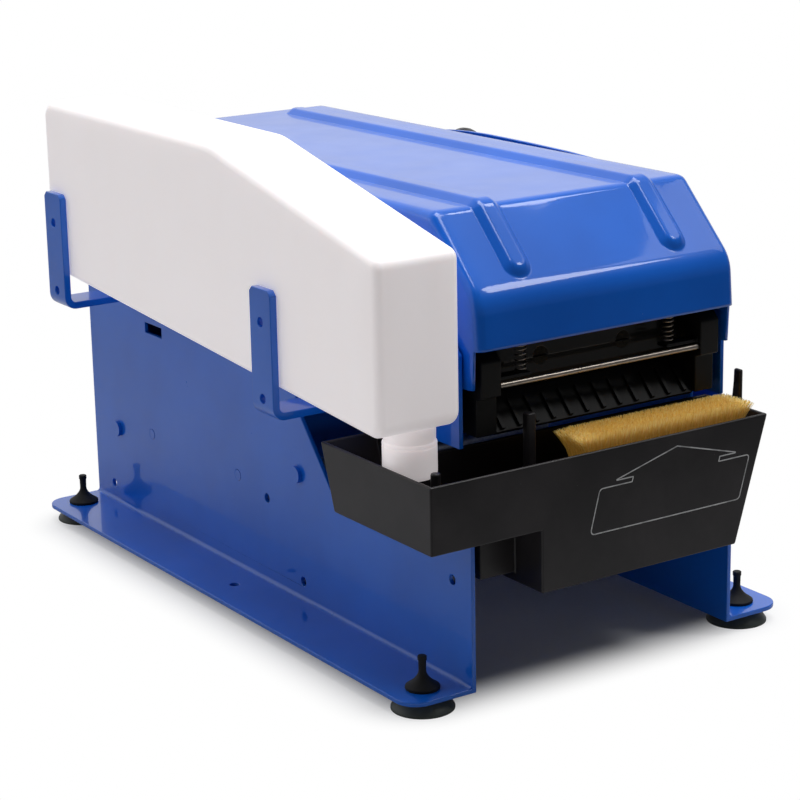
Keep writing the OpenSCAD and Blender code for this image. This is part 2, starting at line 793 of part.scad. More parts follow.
module guide_plate() {
    // The ribbed plate that leads the tape down to the brush
    sheet = 3;
    low = at(8, cheek_low + 0.5);
    high = at(holder_y + 3, bed_low);
    rise = atan2(high[1] - low[1], high[0] - low[0]);
    len = norm(high - low);
    pitch = (cheek_gap - 10) / (guide_ribs - 1);
    color(BLACK) {
        along_x(-cheek_in, cheek_gap) polygon([
            low, high, at(bed_rear - 10, bed_low), at(bed_rear - 10, bed_low - sheet),
            high + [1, -sheet], low + [1.5, -1.5]
        ]);
        for (i = [0:guide_ribs - 1])
            translate([-cheek_in + 5 + i * pitch - 1, low[0], low[1]]) rotate([rise, 0, 0])
                translate([0, 1, -0.5]) cube([2, len - 6, 2]);
    }
}

module blade_bed() {
    color(BLACK) along_x(-cheek_in, cheek_gap) polygon([
        at(bed_y, bed_low), at(bed_y, bed_lip), at(bed_rear, bed_top), at(bed_rear, bed_low)
    ]);
}

module lower_blade() {
    color(STEEL) translate([-cheek_in + 2, front + bed_y - blade_t, deck + bed_low])
        cube([cheek_gap - 4, blade_t, bed_lip + 0.5 - bed_low]);
}

module blade_holder() {
    tab = holder_y - seat_y + spring_d / 2 + 1;
    color(BLACK) difference() {
        union() {
            translate([-holder_w / 2, front + holder_y, deck + holder_low])
                cube([holder_w, holder_t, spring_top + 2 - holder_low]);
            for (s = [-1, 1])
                translate([s * spring_x - 5, front + holder_y - tab, deck + spring_top])
                    cube([10, tab, 2]);
            // Ends that slide between the cheeks
            for (s = [-1, 1])
                translate([s > 0 ? holder_w / 2 - 1 : -cheek_in + 0.3, front + holder_y, deck + holder_low + 4])
                    cube([cheek_in - 0.3 - holder_w / 2 + 1, holder_t, 10]);
        }
        for (s = [-1, 1]) translate([s * holder_screw_x, front + holder_y, deck + holder_screw_z])
            rotate([-90, 0, 0]) {
                translate([0, 0, -1]) cylinder(h = holder_t + 2, d = 5);
                cylinder(h = 2, d1 = 9, d2 = 5);
            }
    }
}

module upper_blade() {
    color(STEEL) difference() {
        translate([-holder_w / 2 + 1, front + holder_y + holder_t, deck + holder_low - 0.5])
            cube([holder_w - 2, blade_t, 14]);
        for (s = [-1, 1]) translate([s * holder_screw_x, front + holder_y, deck + holder_screw_z])
            rotate([-90, 0, 0]) cylinder(h = holder_t + 6, d = 5);
    }
}

module holder_screws() {
    color(STEEL) for (s = [-1, 1])
        translate([s * holder_screw_x, front + holder_y, deck + holder_screw_z]) rotate([-90, 0, 0]) {
            difference() {
                cylinder(h = 2, d1 = 9, d2 = 5);
                translate([-5, -0.6, -1]) cube([10, 1.2, 2]);
            }
            translate([0, 0, 2]) cylinder(h = holder_t + blade_t - 2, d = 5);
        }
}

// A coil spring as one unbroken tube along Z, from rings of points
wire_sides = 6;
rings_per_turn = 8;
function coil_centre(i, turns, r, h) = let(a = 360 * i / rings_per_turn)
    [r * cos(a), r * sin(a), h * i / (turns * rings_per_turn)];
function coil_ring(i, turns, r, h, w) = let(a = 360 * i / rings_per_turn, c = coil_centre(i, turns, r, h))
    [for (k = [0:wire_sides - 1]) let(b = 360 * k / wire_sides)
        c + [w * cos(b) * cos(a), w * cos(b) * sin(a), w * sin(b)]];
function coil_points(turns, r, h, w) =
    [for (i = [0:turns * rings_per_turn]) each coil_ring(i, turns, r, h, w)];
function coil_faces(turns) = let(n = turns * rings_per_turn, m = wire_sides) concat(
    [for (i = [0:n - 1], k = [0:m - 1]) let(a = i * m + k, b = i * m + (k + 1) % m) each
        [[a, b, b + m], [a, b + m, a + m]]],
    [for (k = [1:m - 2]) [0, k + 1, k]],
    [for (k = [1:m - 2]) [n * m, n * m + k, n * m + k + 1]]
);
// Least gap between one turn's points and the next turn's
function coil_gap(turns, r, h, w) = let(p = coil_points(turns, r, h, w), s = rings_per_turn * wire_sides)
    min([for (i = [0:s - 1], j = [s:2 * s - 1]) if (abs(j - i - s) < s / 2) norm(p[i] - p[j])]);

spring_turns = 5;
spring_wire = 0.4;
echo(holder_spring_gap = coil_gap(spring_turns, spring_d / 2 - spring_wire,
    spring_top - seat_h - 2 * spring_wire, spring_wire));

module holder_spring(side) {
    color(STEEL) translate([side * spring_x, front + seat_y, deck + seat_h + spring_wire])
        polyhedron(coil_points(spring_turns, spring_d / 2 - spring_wire,
            spring_top - seat_h - 2 * spring_wire, spring_wire), coil_faces(spring_turns));
}
module holder_spring_left() { holder_spring(-1); }
module holder_spring_right() { holder_spring(1); }

// ---------- Feed and pressure rollers ----------
wheel_x = 30;
clutch_x = 62;
clutch_w = 14;
gear_x = outer + 3.5;
press_p = at(feed_back, feed_h + feed_wheel_d / 2 + tape_gap + press_d / 2);
press_shaft_d = 8;
arm_x = 53;
arm_t = 3;

module feed_shaft() {
    color(STEEL) bar_x(-outer - 2, gear_x + gear_t + 3, feed_p, feed_d);
}

module feed_wheels() {
    color(RUBBER) for (s = [-1, 1])
        tube_x(s * wheel_x - feed_wheel_w / 2, s * wheel_x + feed_wheel_w / 2, feed_p, feed_wheel_d, feed_d);
}

module feed_bushes() {
    color([0.75, 0.58, 0.28]) {
        for (s = [-1, 1]) difference() {
            union() {
                bar_x(s > 0 ? inner : -outer, s > 0 ? outer : -inner, feed_p, bush_d);
                bar_x(s > 0 ? inner - 2.5 : -inner, s > 0 ? inner : -inner + 2.5, feed_p, bush_d + 6);
            }
            bar_x(-outer - 5, outer + 5, feed_p, feed_d + fit);
        }
        difference() {
            union() {
                bar_x(inner, outer, pivot_p, pivot_bush_d);
                bar_x(outer, outer + 2, pivot_p, pivot_bush_d + 6);
            }
            bar_x(inner - 1, outer + 5, pivot_p, pivot_d + fit);
        }
    }
}

module feed_clutch() {
    color(STEEL) tube_x(clutch_x, clutch_x + clutch_w, feed_p, 26, feed_d);
}

// Straight-sided gear teeth, a little slim so that they run free
function tooth(n, i) = let(
    r = gear_m * n / 2, pitch = 360 / n, a = i * pitch,
    root = r - 1.15 * gear_m, tip = r + 0.85 * gear_m,
    wr = 0.27 * pitch, wt = 0.12 * pitch
) [[root, a - wr], [tip, a - wt], [tip, a + wt], [root, a + wr]];
function polar(p) = [p[0] * cos(p[1]), p[0] * sin(p[1])];
function gear_outline(n, first, last) = [for (i = [first:last]) each [for (p = tooth(n, i)) polar(p)]];

module gear_x_plane(p, turn) {
    translate([gear_x, p[0], p[1]]) rotate([90, 0, 90]) rotate(turn) linear_extrude(gear_t) children();
}

// Where the line from idler to pinion falls between two idler teeth, in tooth pitches
idler_turn = 180 / idler_teeth;
idler_phase = (idler_angle - idler_turn) * idler_teeth / 360;
pinion_turn = idler_angle + 180 + (idler_phase - floor(idler_phase) + 0.5) * 360 / pinion_teeth;

module pinion() {
    color(STEEL) difference() {
        gear_x_plane(feed_p, pinion_turn) polygon(gear_outline(pinion_teeth, 0, pinion_teeth - 1));
        bar_x(gear_x - 1, gear_x + gear_t + 1, feed_p, feed_d);
    }
}

module idler_gear() {
    // A gap between two teeth faces the sector
    color(STEEL) difference() {
        gear_x_plane(idler_p, idler_turn) polygon(gear_outline(idler_teeth, 0, idler_teeth - 1));
        bar_x(gear_x - 1, gear_x + gear_t + 1, idler_p, idler_pin_d + fit);
    }
}

module idler_stud() {
    color(STEEL) {
        bar_x(inner, gear_x + gear_t + 1.5, idler_p, idler_pin_d);
        bar_x(outer, gear_x - 0.3, idler_p, idler_pin_d + 5);
        bar_x(gear_x + gear_t + 0.3, gear_x + gear_t + 1.5, idler_p, idler_pin_d + 4);
    }
}

sector_last = ceil(lever_swing * sector_teeth / 360) + 2;
hub_d = 24;

module sector_gear() {
    // At rest the first tooth of the stroke faces the idler
    pitch_r = gear_m * sector_teeth / 2;
    color(STEEL) difference() {
        gear_x_plane(pivot_p, 180) difference() {
            union() {
                polygon(concat([[0, 0]], gear_outline(sector_teeth, -sector_last, 2)));
                circle(d = hub_d + 4);
            }
            // Lightening window between two arms
            intersection() {
                difference() {
                    circle(pitch_r - 8);
                    circle(hub_d / 2 + 7);
                }
                polygon([[0, 0], 2 * pitch_r * [cos(14), -sin(14)], 3 * pitch_r * [cos(50), -sin(50)],
                    2 * pitch_r * [cos(86), -sin(86)]]);
            }
        }
        bar_x(gear_x - 1, gear_x + gear_t + 1, pivot_p, pivot_d);
    }
}

module press_pin() {
    color(STEEL) bar_x(-outer, outer, arm_p, arm_pin_d);
}

module press_arm(side) {
    x0 = side > 0 ? arm_x : -arm_x - arm_t;
    color(STEEL) difference() {
        along_x(x0, arm_t) hull() {
            translate(press_p) circle(9);
            translate(arm_p) circle(9);
        }
        bar_x(x0 - 1, x0 + arm_t + 1, press_p, press_shaft_d + fit);
        bar_x(x0 - 1, x0 + arm_t + 1, arm_p, arm_pin_d + fit);
    }
}
module press_arm_left() { press_arm(-1); }
module press_arm_right() { press_arm(1); }

module press_shaft() {
    color(STEEL) {
        bar_x(-arm_x - arm_t - 3, arm_x + arm_t + 3, press_p, press_shaft_d);
        for (s = [-1, 1]) bar_x(s > 0 ? arm_x - 3 : -arm_x + 1, s > 0 ? arm_x - 1 : -arm_x + 3, press_p, 13);
    }
}

module press_rollers() {
    color(RUBBER) for (s = [-1, 1])
        tube_x(s * wheel_x - feed_wheel_w / 2, s * wheel_x + feed_wheel_w / 2, press_p, press_d, press_shaft_d);
}

// ---------- Lever and scale ----------
scale_x = outer + 12;
lever_t = 5;
arm_plane = scale_x + scale_t + 1.5 + (grip_d - lever_t) / 2;
lever_bar_w = 14;
standoff_ps = [at(60, 50), at(55, 172), at(310, 46), at(320, 174)];
marker_r = 80;
marker_slot = 6;
marker_span = 35;
marker_mid = 95;

module pivot_stud() {
    color(STEEL) bar_x(inner - 13, arm_plane + lever_t + 8, pivot_p, pivot_d);
}

module spring_barrel() {
    // Closed drum of the return spring, inside the right frame
    color(STEEL) tube_x(inner - 12, inner, pivot_p, 38, pivot_d + 2 * fit);
}

module lever_turn(angle) {
    translate([0, pivot_p[0], pivot_p[1]]) rotate([angle, 0, 0]) children();
}

module lever_arm() {
    bar_end = lever_l - 12;
    color(STEEL) lever_turn(lever_rest) difference() {
        union() {
            along_x(arm_plane, lever_t) hull() {
                circle(16);
                translate([lever_l - grip_l - 4, 0]) circle(lever_bar_w / 2);
            }
            along_x(arm_plane, lever_t) translate([0, -lever_bar_w / 2]) square([bar_end, lever_bar_w]);
            bar_x(gear_x + gear_t, arm_plane, [0, 0], hub_d);
        }
        bar_x(gear_x, arm_plane + lever_t + 1, [0, 0], pivot_d);
    }
}

module lever_grip() {
    color([0.35, 0.2, 0.12]) lever_turn(lever_rest) difference() {
        translate([arm_plane + lever_t / 2, 0, 0]) rotate([-90, 0, 0]) rotate_extrude()
            polygon(concat([[0, lever_l - grip_l], [grip_d * 0.4, lever_l - grip_l],
                [grip_d / 2, lever_l - grip_l + 6]],
                [for (a = [0:15:90]) [grip_d / 2 * cos(a), lever_l - grip_d / 2 + grip_d / 2 * sin(a)]]));
        translate([arm_plane, 0, -lever_bar_w / 2]) cube([lever_t, lever_l - 12, lever_bar_w]);
    }
}

module pivot_nut() {
    color(STEEL) translate([arm_plane + lever_t, pivot_p[0], pivot_p[1]]) rotate([0, 90, 0])
        difference() {
            cylinder(h = 6, d = pivot_d + 8, $fn = 6);
            translate([0, 0, -1]) cylinder(h = 8, d = pivot_d);
        }
}

// A rounded panel outline, |y/a|^n + |z/b|^n = 1
panel_n = 3.3;
panel_rise = 35;
panel_low = 22;
panel_front = 25;
panel_rear = 38;
panel_a = (frame_len - panel_front - panel_rear) / 2;
panel_b = (frame_h + panel_rise - panel_low) / 2;
panel_mid = at(panel_front + panel_a, panel_low + panel_b);
function panel_point(t) = panel_mid + [
    panel_a * sign(cos(t)) * pow(abs(cos(t)), 2 / panel_n),
    panel_b * sign(sin(t)) * pow(abs(sin(t)), 2 / panel_n)
];

module scale_plate() {
    // Panel over the gears, with the slot of the length marker and a tick at every ten degrees
    color(BLUE) difference() {
        along_x(scale_x, scale_t) polygon([for (t = [0:5:355]) panel_point(t)]);
        bar_x(scale_x - 1, scale_x + scale_t + 1, pivot_p, hub_d + 5);
        for (p = standoff_ps) bar_x(scale_x - 1, scale_x + scale_t + 1, p, 4 + fit);
        translate([scale_x - 1, pivot_p[0], pivot_p[1]]) rotate([90, 0, 90]) linear_extrude(scale_t + 2)
            intersection() {
                difference() {
                    circle(marker_r + marker_slot / 2);
                    circle(marker_r - marker_slot / 2);
                }
                polygon([[0, 0], 160 * [cos(marker_mid - marker_span - 3), sin(marker_mid - marker_span - 3)],
                    160 * [cos(marker_mid), sin(marker_mid)],
                    160 * [cos(marker_mid + marker_span + 3), sin(marker_mid + marker_span + 3)]]);
            }
        for (a = [marker_mid - 30:10:marker_mid + 30])
            lever_turn(a) translate([scale_x + scale_t - 0.6, marker_r + 6, -0.5]) cube([2, 6, 1]);
    }
}

module scale_standoffs() {
    color(STEEL) for (p = standoff_ps) tube_x(outer, scale_x, p, 9, 4);
}

module scale_screws() {
    color(STEEL) for (p = standoff_ps) {
        bar_x(inner - 0.5, scale_x + scale_t, p, 4);
        bar_x(scale_x + scale_t, scale_x + scale_t + 2.2, p, 8);
        bar_x(inner - 2.5, inner, p, 7);
    }
}

module length_marker() {
    // A low knob that slides along the slot, under the lever
    p = pivot_p + marker_r * [cos(marker_mid), sin(marker_mid)];
    knob_t = 6;
    washer_t = 1.8;
    color(BLACK) {
        bar_x(scale_x + scale_t + fit, scale_x + scale_t + knob_t, p, 14);
        bar_x(scale_x - 1, scale_x + scale_t + 1, p, marker_slot - 4 * fit);
        bar_x(scale_x - washer_t, scale_x - fit, p, 11);
    }
}

side_frame_left();
side_frame_right();
tie_rods();
tie_screws();
foot_front_left();
foot_front_right();
foot_rear_left();
foot_rear_right();
lid();
lid_hinge_pin();
water_bottle();
neck_valve();
bottle_bracket_front();
bottle_bracket_rear();
bracket_screws();
bottle_rests();
water_tray();
brush_holder();
brush_bristles();
tape_bin();
bin_roller_front();
bin_roller_rear();
bin_axles();
guide_bar();
tape_guide_left();
tape_guide_right();
cheek_left();
cheek_right();
cheek_screws();
guide_rod();
guide_plate();
blade_bed();
lower_blade();
blade_holder();
upper_blade();
holder_screws();
holder_spring_left();
holder_spring_right();
feed_shaft();
feed_wheels();
feed_bushes();
feed_clutch();
pinion();
idler_gear();
idler_stud();
press_pin();
press_arm_left();
press_arm_right();
press_shaft();
press_rollers();
pivot_stud();
spring_barrel();
sector_gear();
lever_arm();
lever_grip();
pivot_nut();
scale_plate();
scale_standoffs();
scale_screws();
length_marker();
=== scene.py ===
# %% [markdown]
# # Dressing a gummed tape dispenser
# The dispenser stands on a shop counter and hands out wet paper tape. Its moving frame comes packed
# from the CAD model; this lesson gives every piece the shape and finish that the eye expects.
# The pieces that show most (lid, bottle, brackets, feet, brush, springs) are modelled again, finely.
# The others keep their CAD mesh and get rounded edges and a real material.

# %% Load the frame
import json
import math
import random

import bmesh
import bpy
from mathutils import Matrix, Vector


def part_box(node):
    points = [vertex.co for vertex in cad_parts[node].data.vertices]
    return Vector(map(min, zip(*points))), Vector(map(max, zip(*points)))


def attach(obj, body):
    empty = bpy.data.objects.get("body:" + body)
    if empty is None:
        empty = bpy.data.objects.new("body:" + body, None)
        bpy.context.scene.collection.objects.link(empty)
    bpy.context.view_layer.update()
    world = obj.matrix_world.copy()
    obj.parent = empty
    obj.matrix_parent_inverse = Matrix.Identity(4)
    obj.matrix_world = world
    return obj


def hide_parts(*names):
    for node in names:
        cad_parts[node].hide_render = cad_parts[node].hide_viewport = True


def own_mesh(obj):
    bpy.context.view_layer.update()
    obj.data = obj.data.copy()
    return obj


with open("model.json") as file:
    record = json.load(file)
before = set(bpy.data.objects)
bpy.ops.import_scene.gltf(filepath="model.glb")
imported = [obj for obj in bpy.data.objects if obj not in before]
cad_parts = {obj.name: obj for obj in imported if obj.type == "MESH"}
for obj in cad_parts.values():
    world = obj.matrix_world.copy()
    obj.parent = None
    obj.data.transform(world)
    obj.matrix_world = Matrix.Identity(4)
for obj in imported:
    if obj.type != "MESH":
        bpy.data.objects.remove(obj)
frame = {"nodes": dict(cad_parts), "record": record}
scene = bpy.context.scene
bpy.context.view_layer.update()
nodes = frame["nodes"]

# %% [markdown]
# Places on the machine are given as a designer would give them: so many millimetres behind the front
# edge of the side frames, and so many above the top of their foot flanges. Two values turn those into
# the frame's own metres.

# %% Places
MM = 0.001
FRONT = -200 * MM
DECK = 10 * MM


def at(x, dy, dz):
    """A point x from the middle, dy behind the front edge and dz above the flanges, all in mm."""
    return Vector((x * MM, FRONT + dy * MM, DECK + dz * MM))


def new_object(name, data):
    """A new object with this data, linked into the scene."""
    thing = bpy.data.objects.new(name, data)
    scene.collection.objects.link(thing)
    return thing


# From the middle to the outer faces of the side frames, in mm
PLATE_OUTER = 83.0
print("the deck is", DECK, "m above the table")

# %% [markdown]
# The camera stands where the photographer's did. Its place, direction and lens were solved from the
# parallel edges of the side frames, the lid and the tray: a long lens, about 1.4 m away.

# %% Camera
CAMERA_PLACE = Vector((-715.7, -1098.4, 465.0)) * MM
CAMERA_AZIMUTH = -33.457
CAMERA_ELEVATION = 15.645
CAMERA_ROLL = -1.119
CAMERA_LENS = 108.72
CAMERA_FILM = 36


def camera_axes(azimuth, elevation, roll):
    """The camera's right, up and backward directions, as the columns of a matrix."""
    a, e, r = (math.radians(v) for v in (azimuth, elevation, roll))
    forward = Vector((-math.sin(a) * math.cos(e), math.cos(a) * math.cos(e), -math.sin(e)))
    level = Vector((math.cos(a), math.sin(a), 0))
    upright = level.cross(forward)
    right = level * math.cos(r) + upright * math.sin(r)
    up = upright * math.cos(r) - level * math.sin(r)
    return Matrix((right, up, -forward)).transposed()


camera_data = bpy.data.cameras.new("camera")
camera_data.lens = CAMERA_LENS
camera_data.sensor_width = CAMERA_FILM
camera_data.clip_end = 20
camera = new_object("camera", camera_data)
axes = camera_axes(CAMERA_AZIMUTH, CAMERA_ELEVATION, CAMERA_ROLL)
camera.matrix_world = Matrix.Translation(CAMERA_PLACE) @ axes.to_4x4()
scene.camera = camera
print("camera at", [round(v, 3) for v in camera.location], "lens", camera_data.lens)

# %% [markdown]
# ## Materials
# Colours are written as they look on a screen, in sRGB hex, and one function turns them into the
# linear numbers that a shader wants. Two more add a node with its settings and links and fill the
# shader's inputs, so a material reads from top to bottom. A pattern's scale is its real size in mm.

# %% Colour and node helpers


def linear(hex_colour):
    """An sRGB hex value, such as 0c68da, as linear numbers."""
    channels = [int(hex_colour[i:i + 2], 16) / 255 for i in (0, 2, 4)]
    return (*(c / 12.92 if c <= 0.04045 else ((c + 0.055) / 1.055) ** 2.4 for c in channels), 1.0)


def per(mm):
    """The texture scale at which one feature is this many millimetres wide."""
    return 1 / (mm * MM)


def add(tree, kind, settings=None, **links):
    """Adds a shader node. settings holds options, socket values and ramp stops; links its inputs."""
    node = tree.nodes.new("ShaderNode" + kind)
    for key, value in (settings or {}).items():
        if key == "stops":
            elements = node.color_ramp.elements
            while len(elements) < len(value):
                elements.new(0.5)
            for element, (place, colour) in zip(elements, value):
                element.position = place
                element.color = linear(colour) if isinstance(colour, str) else (colour,) * 3 + (1,)
        elif hasattr(node, key):
            setattr(node, key, value)
        else:
            node.inputs[key].default_value = value
    for key, source in links.items():
        tree.links.new(source, node.inputs[key.replace("_", " ")])
    return node


def put(tree, socket, value):
    """Links an input to another node's output, or gives it a plain value."""
    if isinstance(value, bpy.types.NodeSocket):
        tree.links.new(value, socket)
    else:
        socket.default_value = value


def fill(tree, node, inputs):
    """Links or sets the inputs of a node by their names."""
    for key, value in inputs.items():
        put(tree, node.inputs[key], value)


def start_material(name):
    """A new material, its node tree, its shader and the piece's own coordinates in metres."""
    material = bpy.data.materials.new(name)
    material.use_nodes = True
    tree = material.node_tree
    shader = tree.nodes["Principled BSDF"]
    place = add(tree, "TexCoord").outputs["Object"]
    return material, tree, shader, place


print("the blue 0c68da in linear light:", [round(c, 3) for c in linear("0c68da")[:3]])

# %% [markdown]
# Most materials share a few patterns: noise of a given size, a colour ramp, a range, a fine relief
# and specks of dust. Each function gives the socket that holds its result.

# %% Patterns


def noise(tree, place, mm, detail, **settings):
    """Noise with features so many millimetres wide."""
    settings = {"Scale": per(mm), "Detail": detail, **settings}
    return add(tree, "TexNoise", settings, Vector=place).outputs["Fac"]


def drawn_out(tree, place, squeeze):
    """Coordinates squeezed along Z, in which a pattern is drawn out upright."""
    return add(tree, "Mapping", {"Scale": (1.0, 1.0, squeeze)},
               Vector=place).outputs["Vector"]


def ramp(tree, value, *stops):
    """A colour ramp with stops of (place, colour)."""
    return add(tree, "ValToRGB", {"stops": stops}, Fac=value).outputs["Color"]


def spread(tree, value, low, high):
    """A value from 0 to 1 laid out between low and high."""
    return add(tree, "MapRange", {"To Min": low, "To Max": high},
               Value=value).outputs["Result"]


def relief(tree, height, strength, depth_mm):
    """The normal of a surface with a fine relief."""
    return add(tree, "Bump", {"Strength": strength, "Distance": depth_mm * MM},
               Height=height).outputs["Normal"]


def dusted(tree, place, tint, spacing_mm, colour, opacity, size):
    """A tint with specks of dust, their size as a share of the spacing."""
    speck = add(tree, "TexVoronoi", {"Scale": per(spacing_mm)}, Vector=place)
    dust = ramp(tree, speck.outputs["Distance"], (0.0, opacity), (size, 0.0))
    return add(tree, "MixRGB", {"Color2": linear(colour)}, Fac=dust,
               Color1=tint).outputs["Color"]


print("pattern helpers ready")

# %% [markdown]
# **Stoving enamel on sheet steel.** The frames, lid, brackets, bin and panel are sprayed and baked.
# The eye sees a deep blue under a clear gloss, a faint orange peel about 2.5 mm wide, slow changes of
# gloss where hands have wiped it, and a few specks of dust. The clear gloss is the shader's coat.

# %% Enamel


def stoving_enamel(name, colour, dark_colour, roughness):
    """Baked enamel: a coloured layer under a clear gloss with orange peel."""
    material, tree, shader, place = start_material(name)
    cloud = noise(tree, place, mm=70, detail=3.0)
    wipe = noise(tree, place, mm=22, detail=4.0)
    orange = noise(tree, place, mm=2.5, detail=1.5)
    tint = ramp(tree, cloud, (0.35, dark_colour), (0.65, colour))
    peel = relief(tree, orange, strength=0.12, depth_mm=0.05)
    fill(tree, shader, {
        "Base Color": dusted(tree, place, tint, 16, "9fb4dc", opacity=0.6, size=0.018),
        "Roughness": spread(tree, wipe, roughness * 0.8, roughness * 1.25),
        "Normal": peel, "Coat Normal": peel, "IOR": 1.5, "Specular IOR Level": 0.2,
        "Coat Weight": 0.75, "Coat Roughness": 0.04,
    })
    return material


blue_enamel = stoving_enamel("stoving_enamel_blue", "0c68da", "0a60cc", 0.3)
black_enamel = stoving_enamel("stoving_enamel_black", "131315", "0f0f11", 0.3)
print("made", blue_enamel.name, "and", black_enamel.name)

# %% [markdown]
# **Moulded ABS.** The water tray, the cheeks and the guides come from a spark-eroded mould. The eye
# sees a warm near-black, a fine even grain that breaks up highlights, paler rubbed patches and dust.
# The grain is 0.35 mm on the part; it is drawn 0.8 mm wide so that it shows in the picture.

# %% Moulded plastics


def moulded_plastic(name, colour, rubbed_colour, roughness, grain_mm=0.8, grain_depth=0.04):
    """A moulded plastic with an even grain, rubbed patches and a little dust."""
    material, tree, shader, place = start_material(name)
    patch = noise(tree, place, mm=45, detail=5.0, Roughness=0.6)
    tint = ramp(tree, patch, (0.42, colour), (0.72, rubbed_colour))
    grain = noise(tree, place, grain_mm, detail=2.0)
    fill(tree, shader, {
        "Base Color": dusted(tree, place, tint, 11, "8b8a8c", opacity=0.55, size=0.022),
        "Roughness": spread(tree, patch, roughness - 0.05, roughness + 0.1),
        "Normal": relief(tree, grain, strength=0.3, depth_mm=grain_depth),
        "IOR": 1.5, "Specular IOR Level": 0.3,
    })
    return material


black_abs = moulded_plastic("moulded_abs_black", "242224", "312e30", 0.28)
# Painted shade: a darker black for the plastic that lies in shadow inside the machine
shade_painted_abs = moulded_plastic("moulded_abs_inner", "0b0b0c", "121212", 0.5)
grip_phenolic = moulded_plastic("moulded_phenolic_grip", "141214", "1c1a1b", 0.22, 1.5, 0.02)
natural_rubber = moulded_plastic("moulded_rubber_black", "161617", "222223", 0.62, 0.7, 0.05)
cup_vinyl = moulded_plastic("moulded_vinyl_cup", "454b48", "555b58", 0.4, 1.0, 0.02)
print("made five moulded plastics")

# %% [markdown]
# ** Blow-moulded polyethylene.** The water bottle is natural milky polyethylene. Light goes a little
# way in, so its edges glow and its shadows are soft. The walls carry faint upright draw streaks.
# An even emission over the whole bottle is a painted glow.

# %% Milky polyethylene
# Painted glow: an even emission that stands in for light that has wandered through the hollow bottle
# and comes out again everywhere
PAINTED_BOTTLE_GLOW = 0.32


def milky_polyethylene(name, colour, streak_colour):
    """Translucent natural polyethylene with faint draw streaks and a painted glow."""
    material, tree, shader, place = start_material(name)
    streak = noise(tree, drawn_out(tree, place, 0.12), mm=9, detail=3.0)
    wall = noise(tree, place, mm=28, detail=2.0)
    fill(tree, shader, {
        "Base Color": ramp(tree, streak, (0.35, streak_colour), (0.6, colour)),
        "Roughness": spread(tree, wall, 0.3, 0.46),
        "Normal": relief(tree, wall, strength=0.12, depth_mm=0.5),
        "IOR": 1.51, "Subsurface Weight": 0.35,
        "Subsurface Radius": (6 * MM, 5 * MM, 4.4 * MM), "Subsurface Scale": 1.0,
        "Emission Color": linear("fff6f7"), "Emission Strength": PAINTED_BOTTLE_GLOW,
    })
    return material


bottle_plastic = milky_polyethylene("blow_moulded_polyethylene", "f1eef0", "eeeaeb")
print("made", bottle_plastic.name)

# %% [markdown]
# **Metals.** Zinc plate is dull, grey and slightly cloudy. The screws and the blades are blacked in a
# hot salt bath, so they show only a dim dark gleam. The guide rod and the springs are ground or drawn
# bright. Sintered bronze bushes are matte and warm, with a fine grain.
# A metal's colour is its reflection, so metallic is 1 and the IOR stays as it is.

# %% Metals


def plated_metal(name, colour, cloudy_colour, roughness, cloud_mm):
    """A metal with a slightly cloudy surface."""
    material, tree, shader, place = start_material(name)
    cloud = noise(tree, place, cloud_mm, detail=4.0)
    fill(tree, shader, {
        "Base Color": ramp(tree, cloud, (0.3, cloudy_colour), (0.7, colour)),
        "Roughness": spread(tree, cloud, roughness * 0.75, roughness * 1.3),
        "Normal": relief(tree, cloud, strength=0.1, depth_mm=0.01), "Metallic": 1.0,
    })
    return material


black_oxide = plated_metal("black_oxide_steel", "34322f", "24221f", 0.4, 1.5)
zinc_plate = plated_metal("zinc_plated_steel", "b9bcbf", "9fa2a4", 0.36, 2.0)
ground_steel = plated_metal("ground_bright_steel", "b9b0a6", "a3998e", 0.3, 3.0)
sintered_bronze = plated_metal("sintered_bronze", "b98f4c", "94703a", 0.5, 0.6)
print("made", zinc_plate.name, black_oxide.name, ground_steel.name, sintered_bronze.name)

# %% [markdown]
# ** Bristle.** The brush is cut hog bristle, honey coloured. Its colour goes by height alone, darker and
# redder low down and pale at the top. Each hair is close to one colour, so the noise is stretched
# along the hair.

# %% Bristle
# Painted glow: a faint emission that stands in for light passed on between pale hairs, which a few
# bounces alone don't give
PAINTED_HAIR_GLOW = 0.05


def hog_bristle(name, low_z, high_z):
    """Hair colour that changes from hair to hair and from root to tip."""
    material, tree, shader, place = start_material(name)
    hairs = noise(tree, drawn_out(tree, place, 0.06), mm=1.1, detail=2.0)
    hair = ramp(tree, hairs, (0.3, "dfa83a"), (0.5, "f6d06c"), (0.72, "fff2b4"))
    split = add(tree, "SeparateXYZ", {}, Vector=place)
    height = add(tree, "MapRange", {"From Min": low_z, "From Max": high_z},
                 Value=split.outputs["Z"])
    tip = ramp(tree, height.outputs["Result"], (0.5, "c08c50"), (0.95, "fffdf2"))
    both = add(tree, "MixRGB", {"blend_type": "MULTIPLY", "Fac": 0.75},
               Color1=hair, Color2=tip)
    fill(tree, shader, {
        "Base Color": both.outputs["Color"], "Roughness": 0.55, "IOR": 1.55, "Sheen Weight": 0.15,
        "Subsurface Weight": 0.5, "Subsurface Radius": (1.5 * MM, 1.1 * MM, 0.6 * MM),
        "Subsurface Scale": 1.0, "Emission Color": linear("f6d060"),
        "Emission Strength": PAINTED_HAIR_GLOW,
    })
    return material


bristle_low, bristle_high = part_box("brush_bristles")
bristle = hog_bristle("cut_hog_bristle", bristle_low.z, bristle_high.z)
print("bristle from", round(bristle_low.z, 4), "to", round(bristle_high.z, 4))
